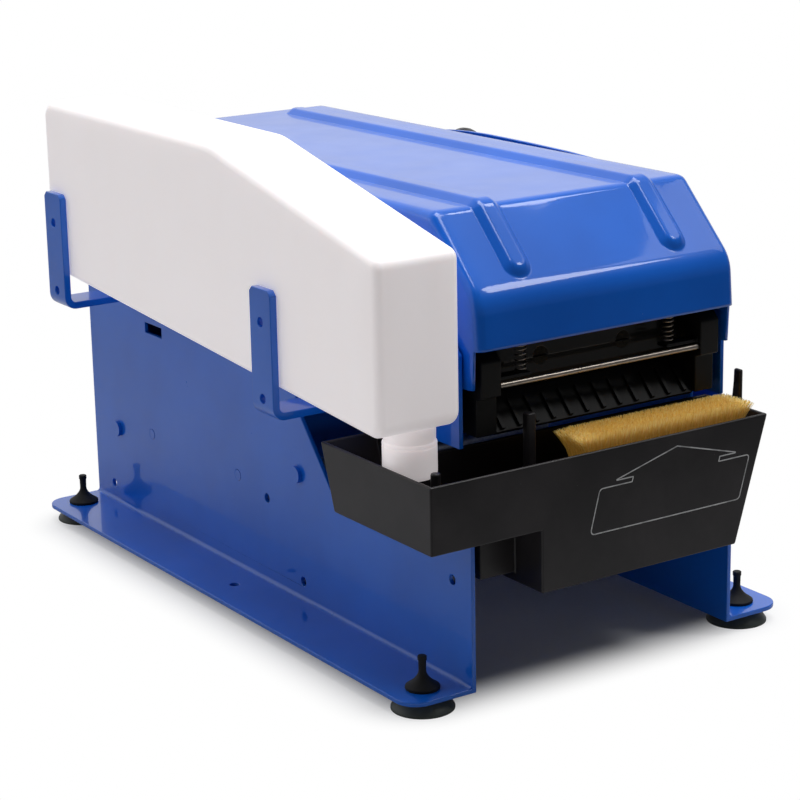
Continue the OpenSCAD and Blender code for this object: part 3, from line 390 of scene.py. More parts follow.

# %% [markdown]
# Every CAD node takes the finish of its material slot in the record. A few are finer than their slot
# says: the tie screws and bin axles were sprayed with the frame, the small screws and blades are
# blacked, and the plastic behind the brush is painted darker, as painted shade for the shadow that
# falls inside the machine.

# %% Finish of every CAD node
FINISH = {
    "blue_enamel": blue_enamel,
    "black_enamel": black_enamel,
    "black_plastic": black_abs,
    "grip_plastic": grip_phenolic,
    "zinc_steel": zinc_plate,
    "bright_steel": ground_steel,
    "bronze": sintered_bronze,
    "black_rubber": natural_rubber,
    "milky_polyethylene": bottle_plastic,
    "white_plastic": bottle_plastic,
    "bristle": bristle,
}
OTHER_FINISH = {
    "tie_screws": blue_enamel, "bin_axles": blue_enamel,
    "holder_screws": black_oxide, "cheek_screws": black_oxide, "upper_blade": black_oxide,
    # The guide plate, cheeks and blade bed take the darker black of painted shade
    "lower_blade": black_oxide, "guide_plate": shade_painted_abs, "cheek_left": shade_painted_abs,
    "cheek_right": shade_painted_abs, "blade_bed": shade_painted_abs,
}
for part in frame["record"]["subparts"]:
    finish = OTHER_FINISH.get(part["node"], FINISH[part["material_slot"]])
    for slot in nodes[part["node"]].material_slots:
        slot.material = finish

# %% [markdown]
# Sheet steel that was cut, and plastic that was moulded, never has a perfectly sharp edge. A Weld
# modifier joins the CAD triangles, a planar Decimate turns the triangles of each flat face into one
# face, and a small Bevel rounds the edges between them, so that each edge catches a line of light.

# %% Rounded edges on the CAD pieces
WELD_GAP = 0.01 * MM
FLAT_ANGLE = 0.5
CAD_SHARP = 40


def round_edges(piece, width_mm, sharp_angle, clamp=True):
    """Rounds the edges where faces meet at more than the angle, and evens out the shading."""
    bevel = piece.modifiers.new("round_edges", "BEVEL")
    bevel.width = width_mm * MM
    bevel.segments = 2
    bevel.limit_method = "ANGLE"
    bevel.angle_limit = math.radians(sharp_angle)
    bevel.use_clamp_overlap = clamp
    piece.modifiers.new("even_shading", "WEIGHTED_NORMAL")


def soften(node, width_mm):
    """Rounds a CAD node's sharp edges without touching its mesh."""
    piece = nodes[node]
    weld = piece.modifiers.new("weld", "WELD")
    weld.merge_threshold = WELD_GAP
    flat = piece.modifiers.new("join_flats", "DECIMATE")
    flat.decimate_type = "DISSOLVE"
    flat.angle_limit = math.radians(FLAT_ANGLE)
    round_edges(piece, width_mm, CAD_SHARP, clamp=False)


SOFT_EDGES = {
    "side_frame_left": 0.5, "side_frame_right": 0.5, "water_tray": 1.0, "tape_bin": 0.4,
    "cheek_left": 0.8, "cheek_right": 0.8, "scale_plate": 0.5, "lever_arm": 0.5,
    "blade_holder": 0.4, "brush_holder": 0.5, "tape_guide_left": 0.4, "tape_guide_right": 0.4,
    "press_arm_left": 0.3, "press_arm_right": 0.3, "length_marker": 0.6,
}
for node_name, edge_mm in SOFT_EDGES.items():
    soften(node_name, edge_mm)
print("softened", len(SOFT_EDGES), "nodes")

# %% [markdown]
# ## Mesh helpers
# The new pieces are made from points in loops. The first helpers put a mesh into the scene with its
# material and body. The next round the corners of an outline, and the last make surfaces.

# %% Mesh helpers


def face_outward(piece):
    """Turns the faces of a closed piece outward."""
    shape = bmesh.new()
    shape.from_mesh(piece.data)
    bmesh.ops.recalc_face_normals(shape, faces=shape.faces)
    shape.to_mesh(piece.data)
    shape.free()


def place_mesh(name, points, faces, material, body, slot, stands_for=(), crease=38, turn_out=True):
    """Makes a piece that rides a body, sharp only above the crease angle. turn_out mends normals."""
    mesh = bpy.data.meshes.new(name)
    mesh.from_pydata([tuple(p) for p in points], [], faces)
    mesh.update()
    mesh.shade_smooth()
    mesh.set_sharp_from_angle(angle=math.radians(crease))
    mesh.materials.append(material)
    piece = new_object(name, mesh)
    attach(piece, body)
    if stands_for:
        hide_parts(*stands_for)
    if turn_out:
        face_outward(piece)
    print(f"{name}: {len(mesh.vertices)} points, {len(mesh.polygons)} faces")
    return piece


def bake_modifiers(piece):
    """Replaces a piece's mesh by what its modifiers make of it."""
    graph = bpy.context.evaluated_depsgraph_get()
    baked = bpy.data.meshes.new_from_object(piece.evaluated_get(graph))
    piece.modifiers.clear()
    piece.data = baked


print("mesh helpers ready")

# %% Outlines
# No arc takes more than this share of an edge, so that two can meet on it
NEARLY_HALF = 0.49


def arc_at(before, corner, after, radius, steps):
    """Points of an arc that rounds one corner of a flat outline."""
    to_before = Vector(before) - Vector(corner)
    to_after = Vector(after) - Vector(corner)
    half = to_before.angle(to_after) / 2
    reach = min(radius / math.tan(half), NEARLY_HALF * min(to_before.length, to_after.length))
    bisector = (to_before.normalized() + to_after.normalized()).normalized()
    centre = Vector(corner) + bisector * (reach / math.cos(half))
    first = Vector(corner) + to_before.normalized() * reach - centre
    last = Vector(corner) + to_after.normalized() * reach - centre
    turn = first.angle(last)
    return [centre + (first * math.sin((1 - k / steps) * turn) + last * math.sin(k / steps * turn))
            / math.sin(turn) for k in range(steps + 1)]


def round_path(corners, radii, steps=6):
    """An open path whose inner corners are rounded."""
    path = [Vector(corners[0])]
    for i, radius in enumerate(radii, start=1):
        path += arc_at(corners[i - 1], corners[i], corners[i + 1], radius, steps)
    return path + [Vector(corners[-1])]


def round_loop(corners, radii, steps):
    """A closed outline whose corners are rounded."""
    count = len(corners)
    loop = []
    for i, radius in enumerate(radii):
        loop += arc_at(corners[i - 1], corners[i], corners[(i + 1) % count], radius, steps)
    return loop


print("outline helpers ready")

# %% Surfaces


def ring_faces(rings, around):
    """Quads between rings of points, each so many points around, and a cap on each end."""
    faces = []
    for r in range(rings - 1):
        for k in range(around):
            j = (k + 1) % around
            faces.append((r * around + k, r * around + j, (r + 1) * around + j, (r + 1) * around + k))
    faces.append(tuple(reversed(range(around))))
    faces.append(tuple(range((rings - 1) * around, rings * around)))
    return faces


def lathe(profile, centre, turns=48):
    """Points and faces of a profile of (radius, height, ripple if any) turned about an upright axis."""
    points = []
    for radius, height, *ripple in profile:
        for k in range(turns):
            angle = 2 * math.pi * k / turns
            r = (radius + k % 2 * sum(ripple)) * MM
            points.append(centre + Vector((r * math.cos(angle), r * math.sin(angle), height * MM)))
    return points, ring_faces(len(profile), turns)


def grid_faces(rows, columns):
    """Quads of a grid of rows by columns of points."""
    return [(r * columns + c, r * columns + c + 1, (r + 1) * columns + c + 1, (r + 1) * columns + c)
            for r in range(rows - 1) for c in range(columns - 1)]


def smooth_step(low, high, value):
    """0 below low, 1 above high, and an S between."""
    t = min(1.0, max(0.0, (value - low) / (high - low)))
    return t * t * (3 - 2 * t)


print("surface helpers ready")

# %% [markdown]
# ## Lid
# The lid is one sheet of steel, pressed over a former: it bends softly from lip to slope to top, its
# sides fold down, and two ribs stiffen it. The side view is a path with rounded corners. That path is
# carried across the width on columns that are close together over the ribs, each point is pushed
# along the sheet's normal by the height of the rib, and a Solidify modifier gives the sheet its
# thickness. A swept sheet keeps the highlights of real bends, which a beveled box would not.

# %% Lid
# In mm: half widths across, and (behind the front edge, above the flanges) along the side view
LID_HALF = 78.0
LID_SHEET = 1.5
LID_SIDE_BEND = 3.5
LID_LIP = (-2.5, 169.5)
LID_LOW_CREASE = (-0.5, 193.5)
LID_TOP_CREASE = (36.0, 229.5)
LID_REAR_TOP = (385.0, 224.5)
LID_REAR_LOW = (385.0, 169.5)
LID_BENDS = [20, 6, 5]
# How finely the sheet is divided: in each bend, in the side bends, across, and along in mm
LID_BEND_STEPS = 12
LID_SIDE_STEPS = 5
LID_COLUMNS = 30
LID_ROW_STEP = 1.4
# The ribs, in mm: from the middle of the lid, half width, height, and how far from the rear they end
RIB_X = 48.0
RIB_HALF = 8.0
RIB_RISE = 3.2
RIB_REAR = 22.0
# Shares of the half width where the crest ends and the foot begins, and the rounding of both
RIB_FLAT = 0.42
RIB_FOOT = 0.95
RIB_ROUND = 0.16
# Share of the slope that a rib runs down, and its columns of points on each side of its middle
RIB_END = 0.68
RIB_COLUMNS = 20
SLOPE_RUN = (Vector(LID_TOP_CREASE) - Vector(LID_LOW_CREASE)).normalized()

# Lower edge of the folded sides, against the length along the side view
LID_SKIRT = [
    (0, (2, 150)), (14, (6, 149.5)), (24, (12, 149.5)), (52, (24, 169.5)), (75, (37, 169.5)),
    (96, (56, 188)), (390, (351, 188)), (402, (363, 169.5)), (424, (368, 169.5)), (480, (376, 169.5)),
]
# Rows of points down each folded side, as shares of its height
SKIRT_ROWS = (1.0, 0.66, 0.33)


def along_skirt(length):
    """The point of the skirt's lower edge that belongs to a length along the side view."""
    for (l0, p0), (l1, p1) in zip(LID_SKIRT, LID_SKIRT[1:]):
        if length <= l1:
            break
    t = min(1.0, (length - l0) / (l1 - l0))
    return Vector(p0).lerp(Vector(p1), t)


def divided(path, step):
    """The path with its long stretches cut into steps."""
    out = [path[0]]
    for p, q in zip(path, path[1:]):
        cuts = max(1, round((q - p).length / step))
        out += [p.lerp(q, k / cuts) for k in range(1, cuts + 1)]
    return out


def soft_ramp(low, high, value):
    """A straight ramp from 0 to 1 with small rounds at its foot and its crest."""
    t = (value - low) / (high - low)
    if t < RIB_ROUND:
        return max(0.0, t + RIB_ROUND) ** 2 / (4 * RIB_ROUND)
    if t > 1 - RIB_ROUND:
        return 1 - max(0.0, 1 + RIB_ROUND - t) ** 2 / (4 * RIB_ROUND)
    return t


print("the lid is", LID_REAR_TOP[0] - LID_LIP[0], "mm long and", 2 * LID_HALF, "mm wide")

# %% Lid sheet


def lid_columns():
    """Across the lid: (x, drop below the top) for each column, close together over the ribs."""
    flat = LID_HALF - LID_SIDE_BEND
    xs = {round(-flat + 2 * flat * k / LID_COLUMNS, 3) for k in range(LID_COLUMNS + 1)}
    for side in (-1, 1):
        xs |= {round(side * RIB_X + RIB_HALF * k / RIB_COLUMNS, 3)
               for k in range(-RIB_COLUMNS - 1, RIB_COLUMNS + 2)}
    across = [(x, 0.0) for x in sorted(xs)]
    bend = []
    for k in range(1, LID_SIDE_STEPS + 1):
        a = math.radians(90 * k / LID_SIDE_STEPS)
        bend.append((flat + LID_SIDE_BEND * math.sin(a), LID_SIDE_BEND * (1 - math.cos(a))))
    return [(-x, d) for x, d in reversed(bend)] + across + bend


def make_lid():
    """Carries the side view across the lid, lifts the ribs and gives the sheet its thickness."""
    corners = [LID_LIP, LID_LOW_CREASE, LID_TOP_CREASE, LID_REAR_TOP, LID_REAR_LOW]
    path = divided(round_path(corners, LID_BENDS, LID_BEND_STEPS), LID_ROW_STEP)
    rib_front = Vector(LID_TOP_CREASE).lerp(Vector(LID_LOW_CREASE), RIB_END)
    columns = lid_columns()
    points = []
    length = 0.0
    for i, here in enumerate(path):
        before, after = path[max(0, i - 1)], path[min(len(path) - 1, i + 1)]
        length += (here - before).length
        run = (after - before).normalized()
        out = Vector((-run.y, run.x))
        skirt = along_skirt(length)
        wall = here - out * LID_SIDE_BEND
        left, right = ([at(side * LID_HALF, *wall.lerp(skirt, t)) for t in SKIRT_ROWS]
                       for side in (-1, 1))
        points += left
        past_end = max(0.0, (rib_front - here).dot(SLOPE_RUN), here.x - LID_REAR_TOP[0] + RIB_REAR)
        for x, drop in columns:
            t = math.hypot(abs(x) - RIB_X, past_end) / RIB_HALF
            rise = RIB_RISE * (1 - soft_ramp(RIB_FLAT, RIB_FOOT, t))
            points.append(at(x, *(here + out * (rise - drop))))
        points += reversed(right)
    across = len(columns) + 2 * len(SKIRT_ROWS)
    faces = [tuple(reversed(f)) for f in grid_faces(len(path), across)]
    lid = place_mesh("lid_sheet", points, faces, blue_enamel, "lid", "blue_enamel", ["lid"],
                     turn_out=False)
    sheet = lid.modifiers.new("sheet", "SOLIDIFY")
    sheet.thickness = LID_SHEET * MM
    sheet.offset = -1
    bake_modifiers(lid)


make_lid()

# %% [markdown]
# ## Water bottle
# The bottle is blown in a two-part mould: flat sides that crown a little and edges of 4 to 5 mm
# radius, where the hot tube was pressed into the corners. The side view is lofted across the width:
# each station is the outline drawn in by some millimetres, so the edges are true arcs.

# %% Water bottle
BOTTLE_MIDDLE = -110.5
BOTTLE_HALF = 24.0
BOTTLE_EDGE = 4.5
BOTTLE_CROWN = 0.4
BOTTLE_SIDE = [(0, 134), (0, 220), (153, 254.5), (341, 254.5), (341, 158)]
BOTTLE_CORNERS = [8, 6, 45, 9, 9]
BOTTLE_LEAST_ROUND = 2.0
BOTTLE_CORNER_STEPS = 7
# Stations on the crowned side: (mm below the crown, mm drawn in)
CROWN_STATIONS = [(0, 30), (0.1, 22), (0.15, 13)]
EDGE_STATIONS = 7
FLAT_STATION = 6


def drawn_in(corners, distance):
    """A convex outline with every side moved inward."""
    count = len(corners)
    sides = []
    for i in range(count):
        p, q = Vector(corners[i]), Vector(corners[(i + 1) % count])
        run = (q - p).normalized()
        sides.append((p + Vector((run.y, -run.x)) * distance, run))
    moved = []
    for i in range(count):
        (p, u), (q, v) = sides[i - 1], sides[i]
        gap = q - p
        moved.append(p + u * ((gap.x * v.y - gap.y * v.x) / (u.x * v.y - u.y * v.x)))
    return moved


def bottle_stations():
    """(distance from the middle, amount drawn in) from one side of the bottle to the other."""
    edge = BOTTLE_HALF - BOTTLE_CROWN
    half = [(BOTTLE_HALF - fall, inset) for fall, inset in CROWN_STATIONS]
    for k in range(EDGE_STATIONS + 1):
        a = math.radians(90 * k / EDGE_STATIONS)
        half.append((edge - BOTTLE_EDGE * (1 - math.cos(a)), BOTTLE_EDGE * (1 - math.sin(a))))
    half.append((FLAT_STATION, 0))
    return [(-x, d) for x, d in half] + [(x, d) for x, d in reversed(half)]


def make_bottle():
    """Lofts the side view across the width and closes both sides."""
    points = []
    stations = bottle_stations()
    for x, inset in stations:
        corners = drawn_in(BOTTLE_SIDE, inset)
        radii = [max(BOTTLE_LEAST_ROUND, r - inset) for r in BOTTLE_CORNERS]
        loop = round_loop(corners, radii, BOTTLE_CORNER_STEPS)
        points += [at(BOTTLE_MIDDLE + x, *p) for p in loop]
    faces = ring_faces(len(stations), len(points) // len(stations))
    place_mesh("bottle_shell", points, faces, bottle_plastic, "bottle", "milky_polyethylene",
               ["water_bottle"])


make_bottle()

# %% [markdown]
# The neck ends in a screw cap with a spring valve, which stands in the tray and lets water out until
# the level covers it. Its grip ribs are a ripple on every second point of the turned profile.

# %% Bottle neck and valve cap
neck_low, neck_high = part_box("neck_valve")
neck_axis = Vector(((neck_low.x + neck_high.x) / 2, (neck_low.y + neck_high.y) / 2, neck_low.z))
# Profiles as (radius, height above the cap's foot, ripple if any), in mm
NECK_PROFILE = [
    (10.6, 14), (12.6, 14.5), (12.7, 15.4), (13.3, 16.0), (13.4, 16.8), (13.2, 17.6),
    (12.7, 18.2), (12.8, 24), (13.1, 27.0), (13.4, 30),
]
CAP_PROFILE = [
    (2.6, 1.0), (3.0, 0.2), (10.5, 0.0), (12.2, 0.3), (13.0, 1.4), (13.1, 2.4, 0.25),
    (13.1, 15.0, 0.25), (13.1, 16.4), (12.6, 17.6), (11.2, 18.0),
]
place_mesh("bottle_neck", *lathe(NECK_PROFILE, neck_axis), bottle_plastic, "bottle",
           "milky_polyethylene")
place_mesh("valve_cap", *lathe(CAP_PROFILE, neck_axis, turns=96), bottle_plastic, "bottle",
           "white_plastic", ["neck_valve"])

# %% [markdown]
# ## Bottle brackets
# Each bracket is a 20 mm strip, bent twice: a tab on the frame, a leg under the bottle and an upright
# outside it. The strip's middle line is rounded at the bends and given its thickness on both sides,
# then the holes and the clipped top corners are cut with Boolean modifiers, as a punch would.

# %% Bottle brackets
# In mm, and the last one in degrees: the angle above which an edge is rounded
STRIP_T = 4.0
STRIP_W = 20.0
UPRIGHT_X = -136.6
UPRIGHT_H = 66.0
TAB_H = 12.0
BEND_R = 5.0
HOLE_R = 2.5
HOLE_HEIGHTS = (10, 49)
CORNER_CLIP = (10, 3.6, 3.6)
STRIP_EDGE = 0.5
STRIP_SHARP = 50


def strip_between(path, thickness):
    """The two edges of a strip of even thickness along an open path."""
    left, right = [], []
    for i, here in enumerate(path):
        run = (path[min(len(path) - 1, i + 1)] - path[max(0, i - 1)]).normalized()
        side = Vector((-run.y, run.x)) * thickness / 2
        left.append(here + side)
        right.append(here - side)
    return left, right


print("the strip is", STRIP_W, "by", STRIP_T, "mm")

# %% Cutters


def box_cutter(centre, size, turn):
    """A box that cuts, turned about the X axis by so many degrees."""
    bpy.ops.mesh.primitive_cube_add(size=1, location=centre, rotation=(math.radians(turn), 0, 0))
    cutter = bpy.context.object
    cutter.scale = size
    return cutter


def hole_cutter(centre, radius_mm):
    """A cylinder that cuts a hole along the X axis."""
    bpy.ops.mesh.primitive_cylinder_add(radius=radius_mm * MM, depth=20 * MM, vertices=40,
                                        location=centre, rotation=(0, math.pi / 2, 0))
    return bpy.context.object


def cut(piece, cutters):
    """Cuts the cutters out of a piece and removes them."""
    for cutter in cutters:
        boolean = piece.modifiers.new("cut", "BOOLEAN")
        boolean.operation = "DIFFERENCE"
        boolean.solver = "EXACT"
        boolean.object = cutter
    bake_modifiers(piece)
    for cutter in cutters:
        bpy.data.objects.remove(cutter, do_unlink=True)


print("cutters ready")

# %% Bent brackets


def make_bracket(name, node):
    """Bends a strip, punches its holes, clips its top corners and rounds its edges."""
    low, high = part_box(node)
    leg = (low.z - DECK) / MM
    middle = ((low.y + high.y) / 2 - FRONT) / MM
    path = round_path([
        (UPRIGHT_X, leg + UPRIGHT_H), (UPRIGHT_X, leg + STRIP_T / 2),
        (-PLATE_OUTER - STRIP_T / 2, leg + STRIP_T / 2), (-PLATE_OUTER - STRIP_T / 2, leg + TAB_H),
    ], [BEND_R, BEND_R])
    left, right = strip_between(path, STRIP_T)
    outline = left + list(reversed(right))
    count = len(outline)
    points = [at(x, middle + y, z) for y in (-STRIP_W / 2, STRIP_W / 2) for x, z in outline]
    # The outline is hollow at the bends, so its two caps are made of quads across the strip
    faces = ring_faces(2, count)[:-2]
    for base in (0, count):
        for k in range(len(left) - 1):
            faces.append((base + k, base + k + 1, base + count - 2 - k, base + count - 1 - k))
    bracket = place_mesh(name, points, faces, blue_enamel, "frame", "blue_enamel", [node])
    cutters = [hole_cutter(at(UPRIGHT_X, middle, leg + h), HOLE_R) for h in HOLE_HEIGHTS]
    top = at(UPRIGHT_X, middle, leg + UPRIGHT_H)
    for side in (-1, 1):
        corner = top + Vector((0, side * STRIP_W / 2 * MM, 0))
        cutters.append(box_cutter(corner, [c * MM for c in CORNER_CLIP], 45))
    cut(bracket, cutters)
    round_edges(bracket, STRIP_EDGE, STRIP_SHARP)
    bake_modifiers(bracket)


for end in ("front", "rear"):
    make_bracket("bracket_strip_" + end, "bottle_bracket_" + end)

# %% [markdown]
# ## Bends of the side frames
# Each side frame is one sheet, folded outward at the bottom into a flange. A press brake leaves a
# round inside corner, and it is that corner that catches a long soft line of light. The CAD frame
# has a sharp corner there, so a fillet of the same enamel fills it.

# %% Frame bends
FOLD_R = 2.0
FOLD_STEPS = 6
FOLD_ENDS = (0.6, 399.4)
# How far the fillet's back corner is sunk into the sheet
FOLD_SUNK = 0.2


def make_fold(name, side):
    """A fillet along the inside corner of one side frame; side is -1 for left, 1 for right."""
    points = []
    for dy in FOLD_ENDS:
        points.append(at(side * (PLATE_OUTER - FOLD_SUNK), dy, -FOLD_SUNK))
        for k in range(FOLD_STEPS + 1):
            a = math.radians(90 * k / FOLD_STEPS)
            x = PLATE_OUTER + FOLD_R * (1 - math.cos(a))
            z = FOLD_R * (1 - math.sin(a))
            points.append(at(side * x, dy, z))
    faces = ring_faces(len(FOLD_ENDS), FOLD_STEPS + 2)
    place_mesh(name, points, faces, blue_enamel, "frame", "blue_enamel", crease=30)


make_fold("frame_fold_left", -1)
make_fold("frame_fold_right", 1)

# %% [markdown]
# ## Feet
# A suction foot is pulled through a hole in the flange from below: a thin soft cup under it, and a
# black bell with a stem above it that the fitter pulls on. The two are turned profiles.

# %% Feet
# Profiles as (radius, height above the flange), in mm
FOOT_STEM = [
    (0.4, 17.0), (2.0, 17.0), (2.3, 16.7), (2.3, 14.9), (2.0, 14.3), (1.9, 9.5), (2.1, 8.0),
    (2.9, 6.4), (4.3, 4.7), (5.9, 3.3), (7.6, 2.2), (8.6, 1.5), (8.8, 0.7), (8.6, 0.0),
    (3.0, 0.0), (3.0, -2.6),
]
FOOT_CUP = [
    (3.0, -2.4), (9.4, -2.5), (11.2, -3.4), (13.0, -5.2), (15.2, -8.0), (16.0, -9.2),
    (16.0, -10.0), (14.6, -10.0), (13.4, -9.2), (8.0, -7.6), (0.4, -7.0),
]


def make_foot(node):
    """The bell with its stem, and the cup, round the axis of one CAD foot."""
    low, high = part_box(node)
    axis = Vector(((low.x + high.x) / 2, (low.y + high.y) / 2, DECK))
    place_mesh(node + "_bell", *lathe(FOOT_STEM, axis, turns=40), natural_rubber, "frame",
               "black_rubber", [node])
    place_mesh(node + "_cup", *lathe(FOOT_CUP, axis, turns=56), cup_vinyl, "frame", "black_rubber")


for foot in ("foot_front_left", "foot_front_right", "foot_rear_left", "foot_rear_right"):
    make_foot(foot)

# %% [markdown]
# ## Brush
# The brush is a dense block of cut bristle. Hairs of 0.2 mm would be lost in the picture, so each is
# drawn about 0.5 mm wide. They stand in rows with a little disorder and spread outward at the edges,
# and their tips are cut uneven. A core of the same colour keeps light from passing between them.

# %% Brush
HAIR_PITCH = 0.78
HAIR_R = 0.24
HAIR_SIDES = 3
# Rings up a hair, as (share of its length, share of its width), and how late the hair bends
HAIR_LEVELS = [(0.0, 1.0), (0.35, 1.0), (0.7, 1.0), (1.0, 0.6)]
HAIR_BEND = 1.5
# How far the roots are gathered in under the tips, and over what width, in mm
GATHER_END = 8.0
GATHER_SIDE = 3.0
REACH_END = 16
REACH_SIDE = 7
# Disorder: share of the pitch, lean in mm and unevenness of the cut in mm
HAIR_JITTER = 0.3
HAIR_LEAN = 0.3
HAIR_UNEVEN = 0.45
# The cut falls away over the last part of the brush
EDGE_FROM = 0.82
EDGE_DROP = 1.1
# The core stays inside the hairs, by mm at the ends, at the sides and below the tips
CORE_IN = Vector((9.5, 4.0))
CORE_DROP = 2.4
BRUSH_SEED = 7


def near_edge(offset, half, reach):
    """0 in the middle of the brush, rising over the reach to 1 just past its edge."""
    return smooth_step(half - reach, half + 1, abs(offset))


def make_brush():
    """All hairs in one mesh, each a thin prism from its root to its own cut tip."""
    rng = random.Random(BRUSH_SEED)
    low, high = bristle_low / MM, bristle_high / MM
    middle = (low + high) / 2
    half = (high - low) / 2
    columns = int((high.x - low.x) / HAIR_PITCH)
    rows = int((high.y - low.y) / HAIR_PITCH)
    hair_faces = ring_faces(len(HAIR_LEVELS), HAIR_SIDES)
    points, faces = [], []
    for i in range(columns):
        for j in range(rows):
            x = low.x + (i + 0.5 + rng.uniform(-HAIR_JITTER, HAIR_JITTER)) * HAIR_PITCH
            y = low.y + (j + 0.5 + rng.uniform(-HAIR_JITTER, HAIR_JITTER)) * HAIR_PITCH
            off = Vector((x, y, 0)) - middle
            gather_x = GATHER_END * near_edge(off.x, half.x, REACH_END)
            gather_y = GATHER_SIDE * near_edge(off.y, half.y, REACH_SIDE)
            lean = Vector((math.copysign(gather_x, off.x) + rng.gauss(0, HAIR_LEAN),
                           math.copysign(gather_y, off.y) + rng.gauss(0, HAIR_LEAN), 0))
            edge = max(abs(off.x) / half.x, abs(off.y) / half.y)
            worn = EDGE_DROP * smooth_step(EDGE_FROM, 1.0, edge)
            top = high.z - abs(rng.gauss(0, HAIR_UNEVEN)) - worn
            turn = rng.uniform(0, 2 * math.pi)
            base = len(points)
            for level, width in HAIR_LEVELS:
                splay = lean * (level ** HAIR_BEND - 1)
                centre = Vector((x, y, low.z + (top - low.z) * level)) + splay
                for s in range(HAIR_SIDES):
                    a = turn + 2 * math.pi * s / HAIR_SIDES
                    spoke = Vector((math.cos(a), math.sin(a), 0)) * HAIR_R * width
                    points.append((centre + spoke) * MM)
            faces += [tuple(base + corner for corner in face) for face in hair_faces]
    place_mesh("brush_hair", points, faces, bristle, "brush", "bristle", ["brush_bristles"],
               crease=80, turn_out=False)


make_brush()

# %% Brush core


def make_brush_core():
    """A block inside the hairs, wholly covered by them."""
    left, front = bristle_low.xy / MM + CORE_IN
    right, back = bristle_high.xy / MM - CORE_IN
    levels = (bristle_low.z / MM, bristle_high.z / MM - CORE_DROP)
    corners = [(x, y, z) for z in levels
               for x, y in ((left, front), (right, front), (right, back), (left, back))]
    faces = [(0, 3, 2, 1), (4, 5, 6, 7), (0, 1, 5, 4), (1, 2, 6, 5), (2, 3, 7, 6), (3, 0, 4, 7)]
    place_mesh("brush_core", [Vector(c) * MM for c in corners], faces, bristle, "brush", "bristle",
               turn_out=False)


make_brush_core()

# %% [markdown]
# ## Holder springs
# Two small coil springs push the blade holder up. Each is a round wire along a helix whose end turns
# lie flat. When the blade is pressed the spring shortens.

# %% Holder springs
SPRING_TURNS = 6.0
SPRING_RINGS = 24
WIRE_SIDES = 8
# The wire's radius, in mm
SPRING_WIRE = 0.4
# How much the end turns lie flatter than the middle ones
END_FLATNESS = 0.35


def make_spring(name, node):
    """Sweeps a round wire along a helix in the CAD spring's place."""
    low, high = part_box(node)
    axis_x, axis_y = (low.x + high.x) / 2, (low.y + high.y) / 2
    radius = (high.y - low.y) / 2 - SPRING_WIRE * MM
    bottom, top = low.z + SPRING_WIRE * MM, high.z - SPRING_WIRE * MM
    steps = int(SPRING_TURNS * SPRING_RINGS)
    points = []
    for i in range(steps + 1):
        t = i / steps
        a = 2 * math.pi * SPRING_TURNS * t
        out = Vector((math.cos(a), math.sin(a), 0))
        climb = smooth_step(0.0, 1.0, t) * END_FLATNESS + t * (1 - END_FLATNESS)
        centre = Vector((axis_x, axis_y, bottom + (top - bottom) * climb)) + out * radius
        for k in range(WIRE_SIDES):
            b = 2 * math.pi * k / WIRE_SIDES
            spoke = out * math.cos(b) + Vector((0, 0, math.sin(b)))
            points.append(centre + spoke * SPRING_WIRE * MM)
    faces = ring_faces(steps + 1, WIRE_SIDES)
    spring = place_mesh(name, points, faces, ground_steel, "frame", "bright_steel", [node], crease=60)
    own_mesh(spring)


for side_name in ("left", "right"):
    make_spring("spring_coil_" + side_name, "holder_spring_" + side_name)

# %% [markdown]
# ## Mark on the tray
# A thin pale outline is printed on the front of the tray: a plain arrow that points up at the brush.
# It is only a line, without any words, 0.6 mm wide and as thin as ink.

# %% Tray mark
# In mm: the tray's front behind the front edge, the line's width and its lift off the tray
TRAY_FRONT = -20.0
MARK_LINE = 0.6
MARK_LIFT = 0.06
# The corners on the tray front, (from the middle, above the flanges), and the radius at each, in mm
MARK_ARROW = [
    (-26, 73), (-20, 95.5), (0, 95.5), (0.7, 98), (-11, 98), (28.5, 108.5), (68, 98), (56.3, 98),
    (55.6, 95.5), (76, 95.5), (69.5, 73),
]
MARK_ROUNDS = [2, 2.5, 0.2, 0.2, 0.2, 0.4, 0.2, 0.2, 0.2, 1.5, 2.5]


def screen_ink(name, colour, worn_colour):
    """Pale ink, thin enough to look a little worn."""
    material, tree, shader, place = start_material(name)
    worn = noise(tree, place, mm=6, detail=4.0)
    tint = ramp(tree, worn, (0.38, worn_colour), (0.5, colour))
    fill(tree, shader, {"Base Color": tint, "Roughness": 0.5})
    return material


print_ink = screen_ink("screen_print_ink", "c9cacb", "a3a4a6")


def make_mark():
    """A closed line of even width, just off the tray's front."""
    loop = round_loop(MARK_ARROW, MARK_ROUNDS, steps=4)
    count = len(loop)
    points = []
    for i, here in enumerate(loop):
        run = (loop[(i + 1) % count] - loop[i - 1]).normalized()
        side = Vector((-run.y, run.x)) * MARK_LINE / 2
        for p in (here + side, here - side):
            points.append(at(p.x, TRAY_FRONT - MARK_LIFT, p.y))
    faces = [(2 * k, 2 * k + 1, (2 * k + 3) % (2 * count), (2 * k + 2) % (2 * count))
             for k in range(count)]
    place_mesh("tray_mark", points, faces, print_ink, "tray", "black_plastic", turn_out=False)


make_mark()

# %% [markdown]
# ## Floor
# The dispenser stands on white paper that runs out into a white background. Near the machine the
# camera sees the lit paper with its shadow; a short way out an Emission shader takes over. What the
# floor gives back to the machine is set apart from that, and is least far out in front.

# %% Floor
# Half the ground that keeps its full shadow, and how far beyond it the shadow fades, in metres
FOOTPRINT = (96 * MM, 168 * MM, 1.0)
SHADOW_REACH = 0.05
# How much light the floor gives back, and how little in front beyond FAR_Y; it starts to fall at
# NEAR_Y, both in metres
BOUNCE = 0.62
FAR_BOUNCE = 0.1
NEAR_Y = -0.3
FAR_Y = -0.6


def join(tree, kind, operation, first, second, output="Value"):
    """A maths node that joins two values or sockets."""
    node = add(tree, kind, {"operation": operation})
    for socket, value in zip(node.inputs, (first, second)):
        if value is not None:
            put(tree, socket, value)
    return node.outputs[output]


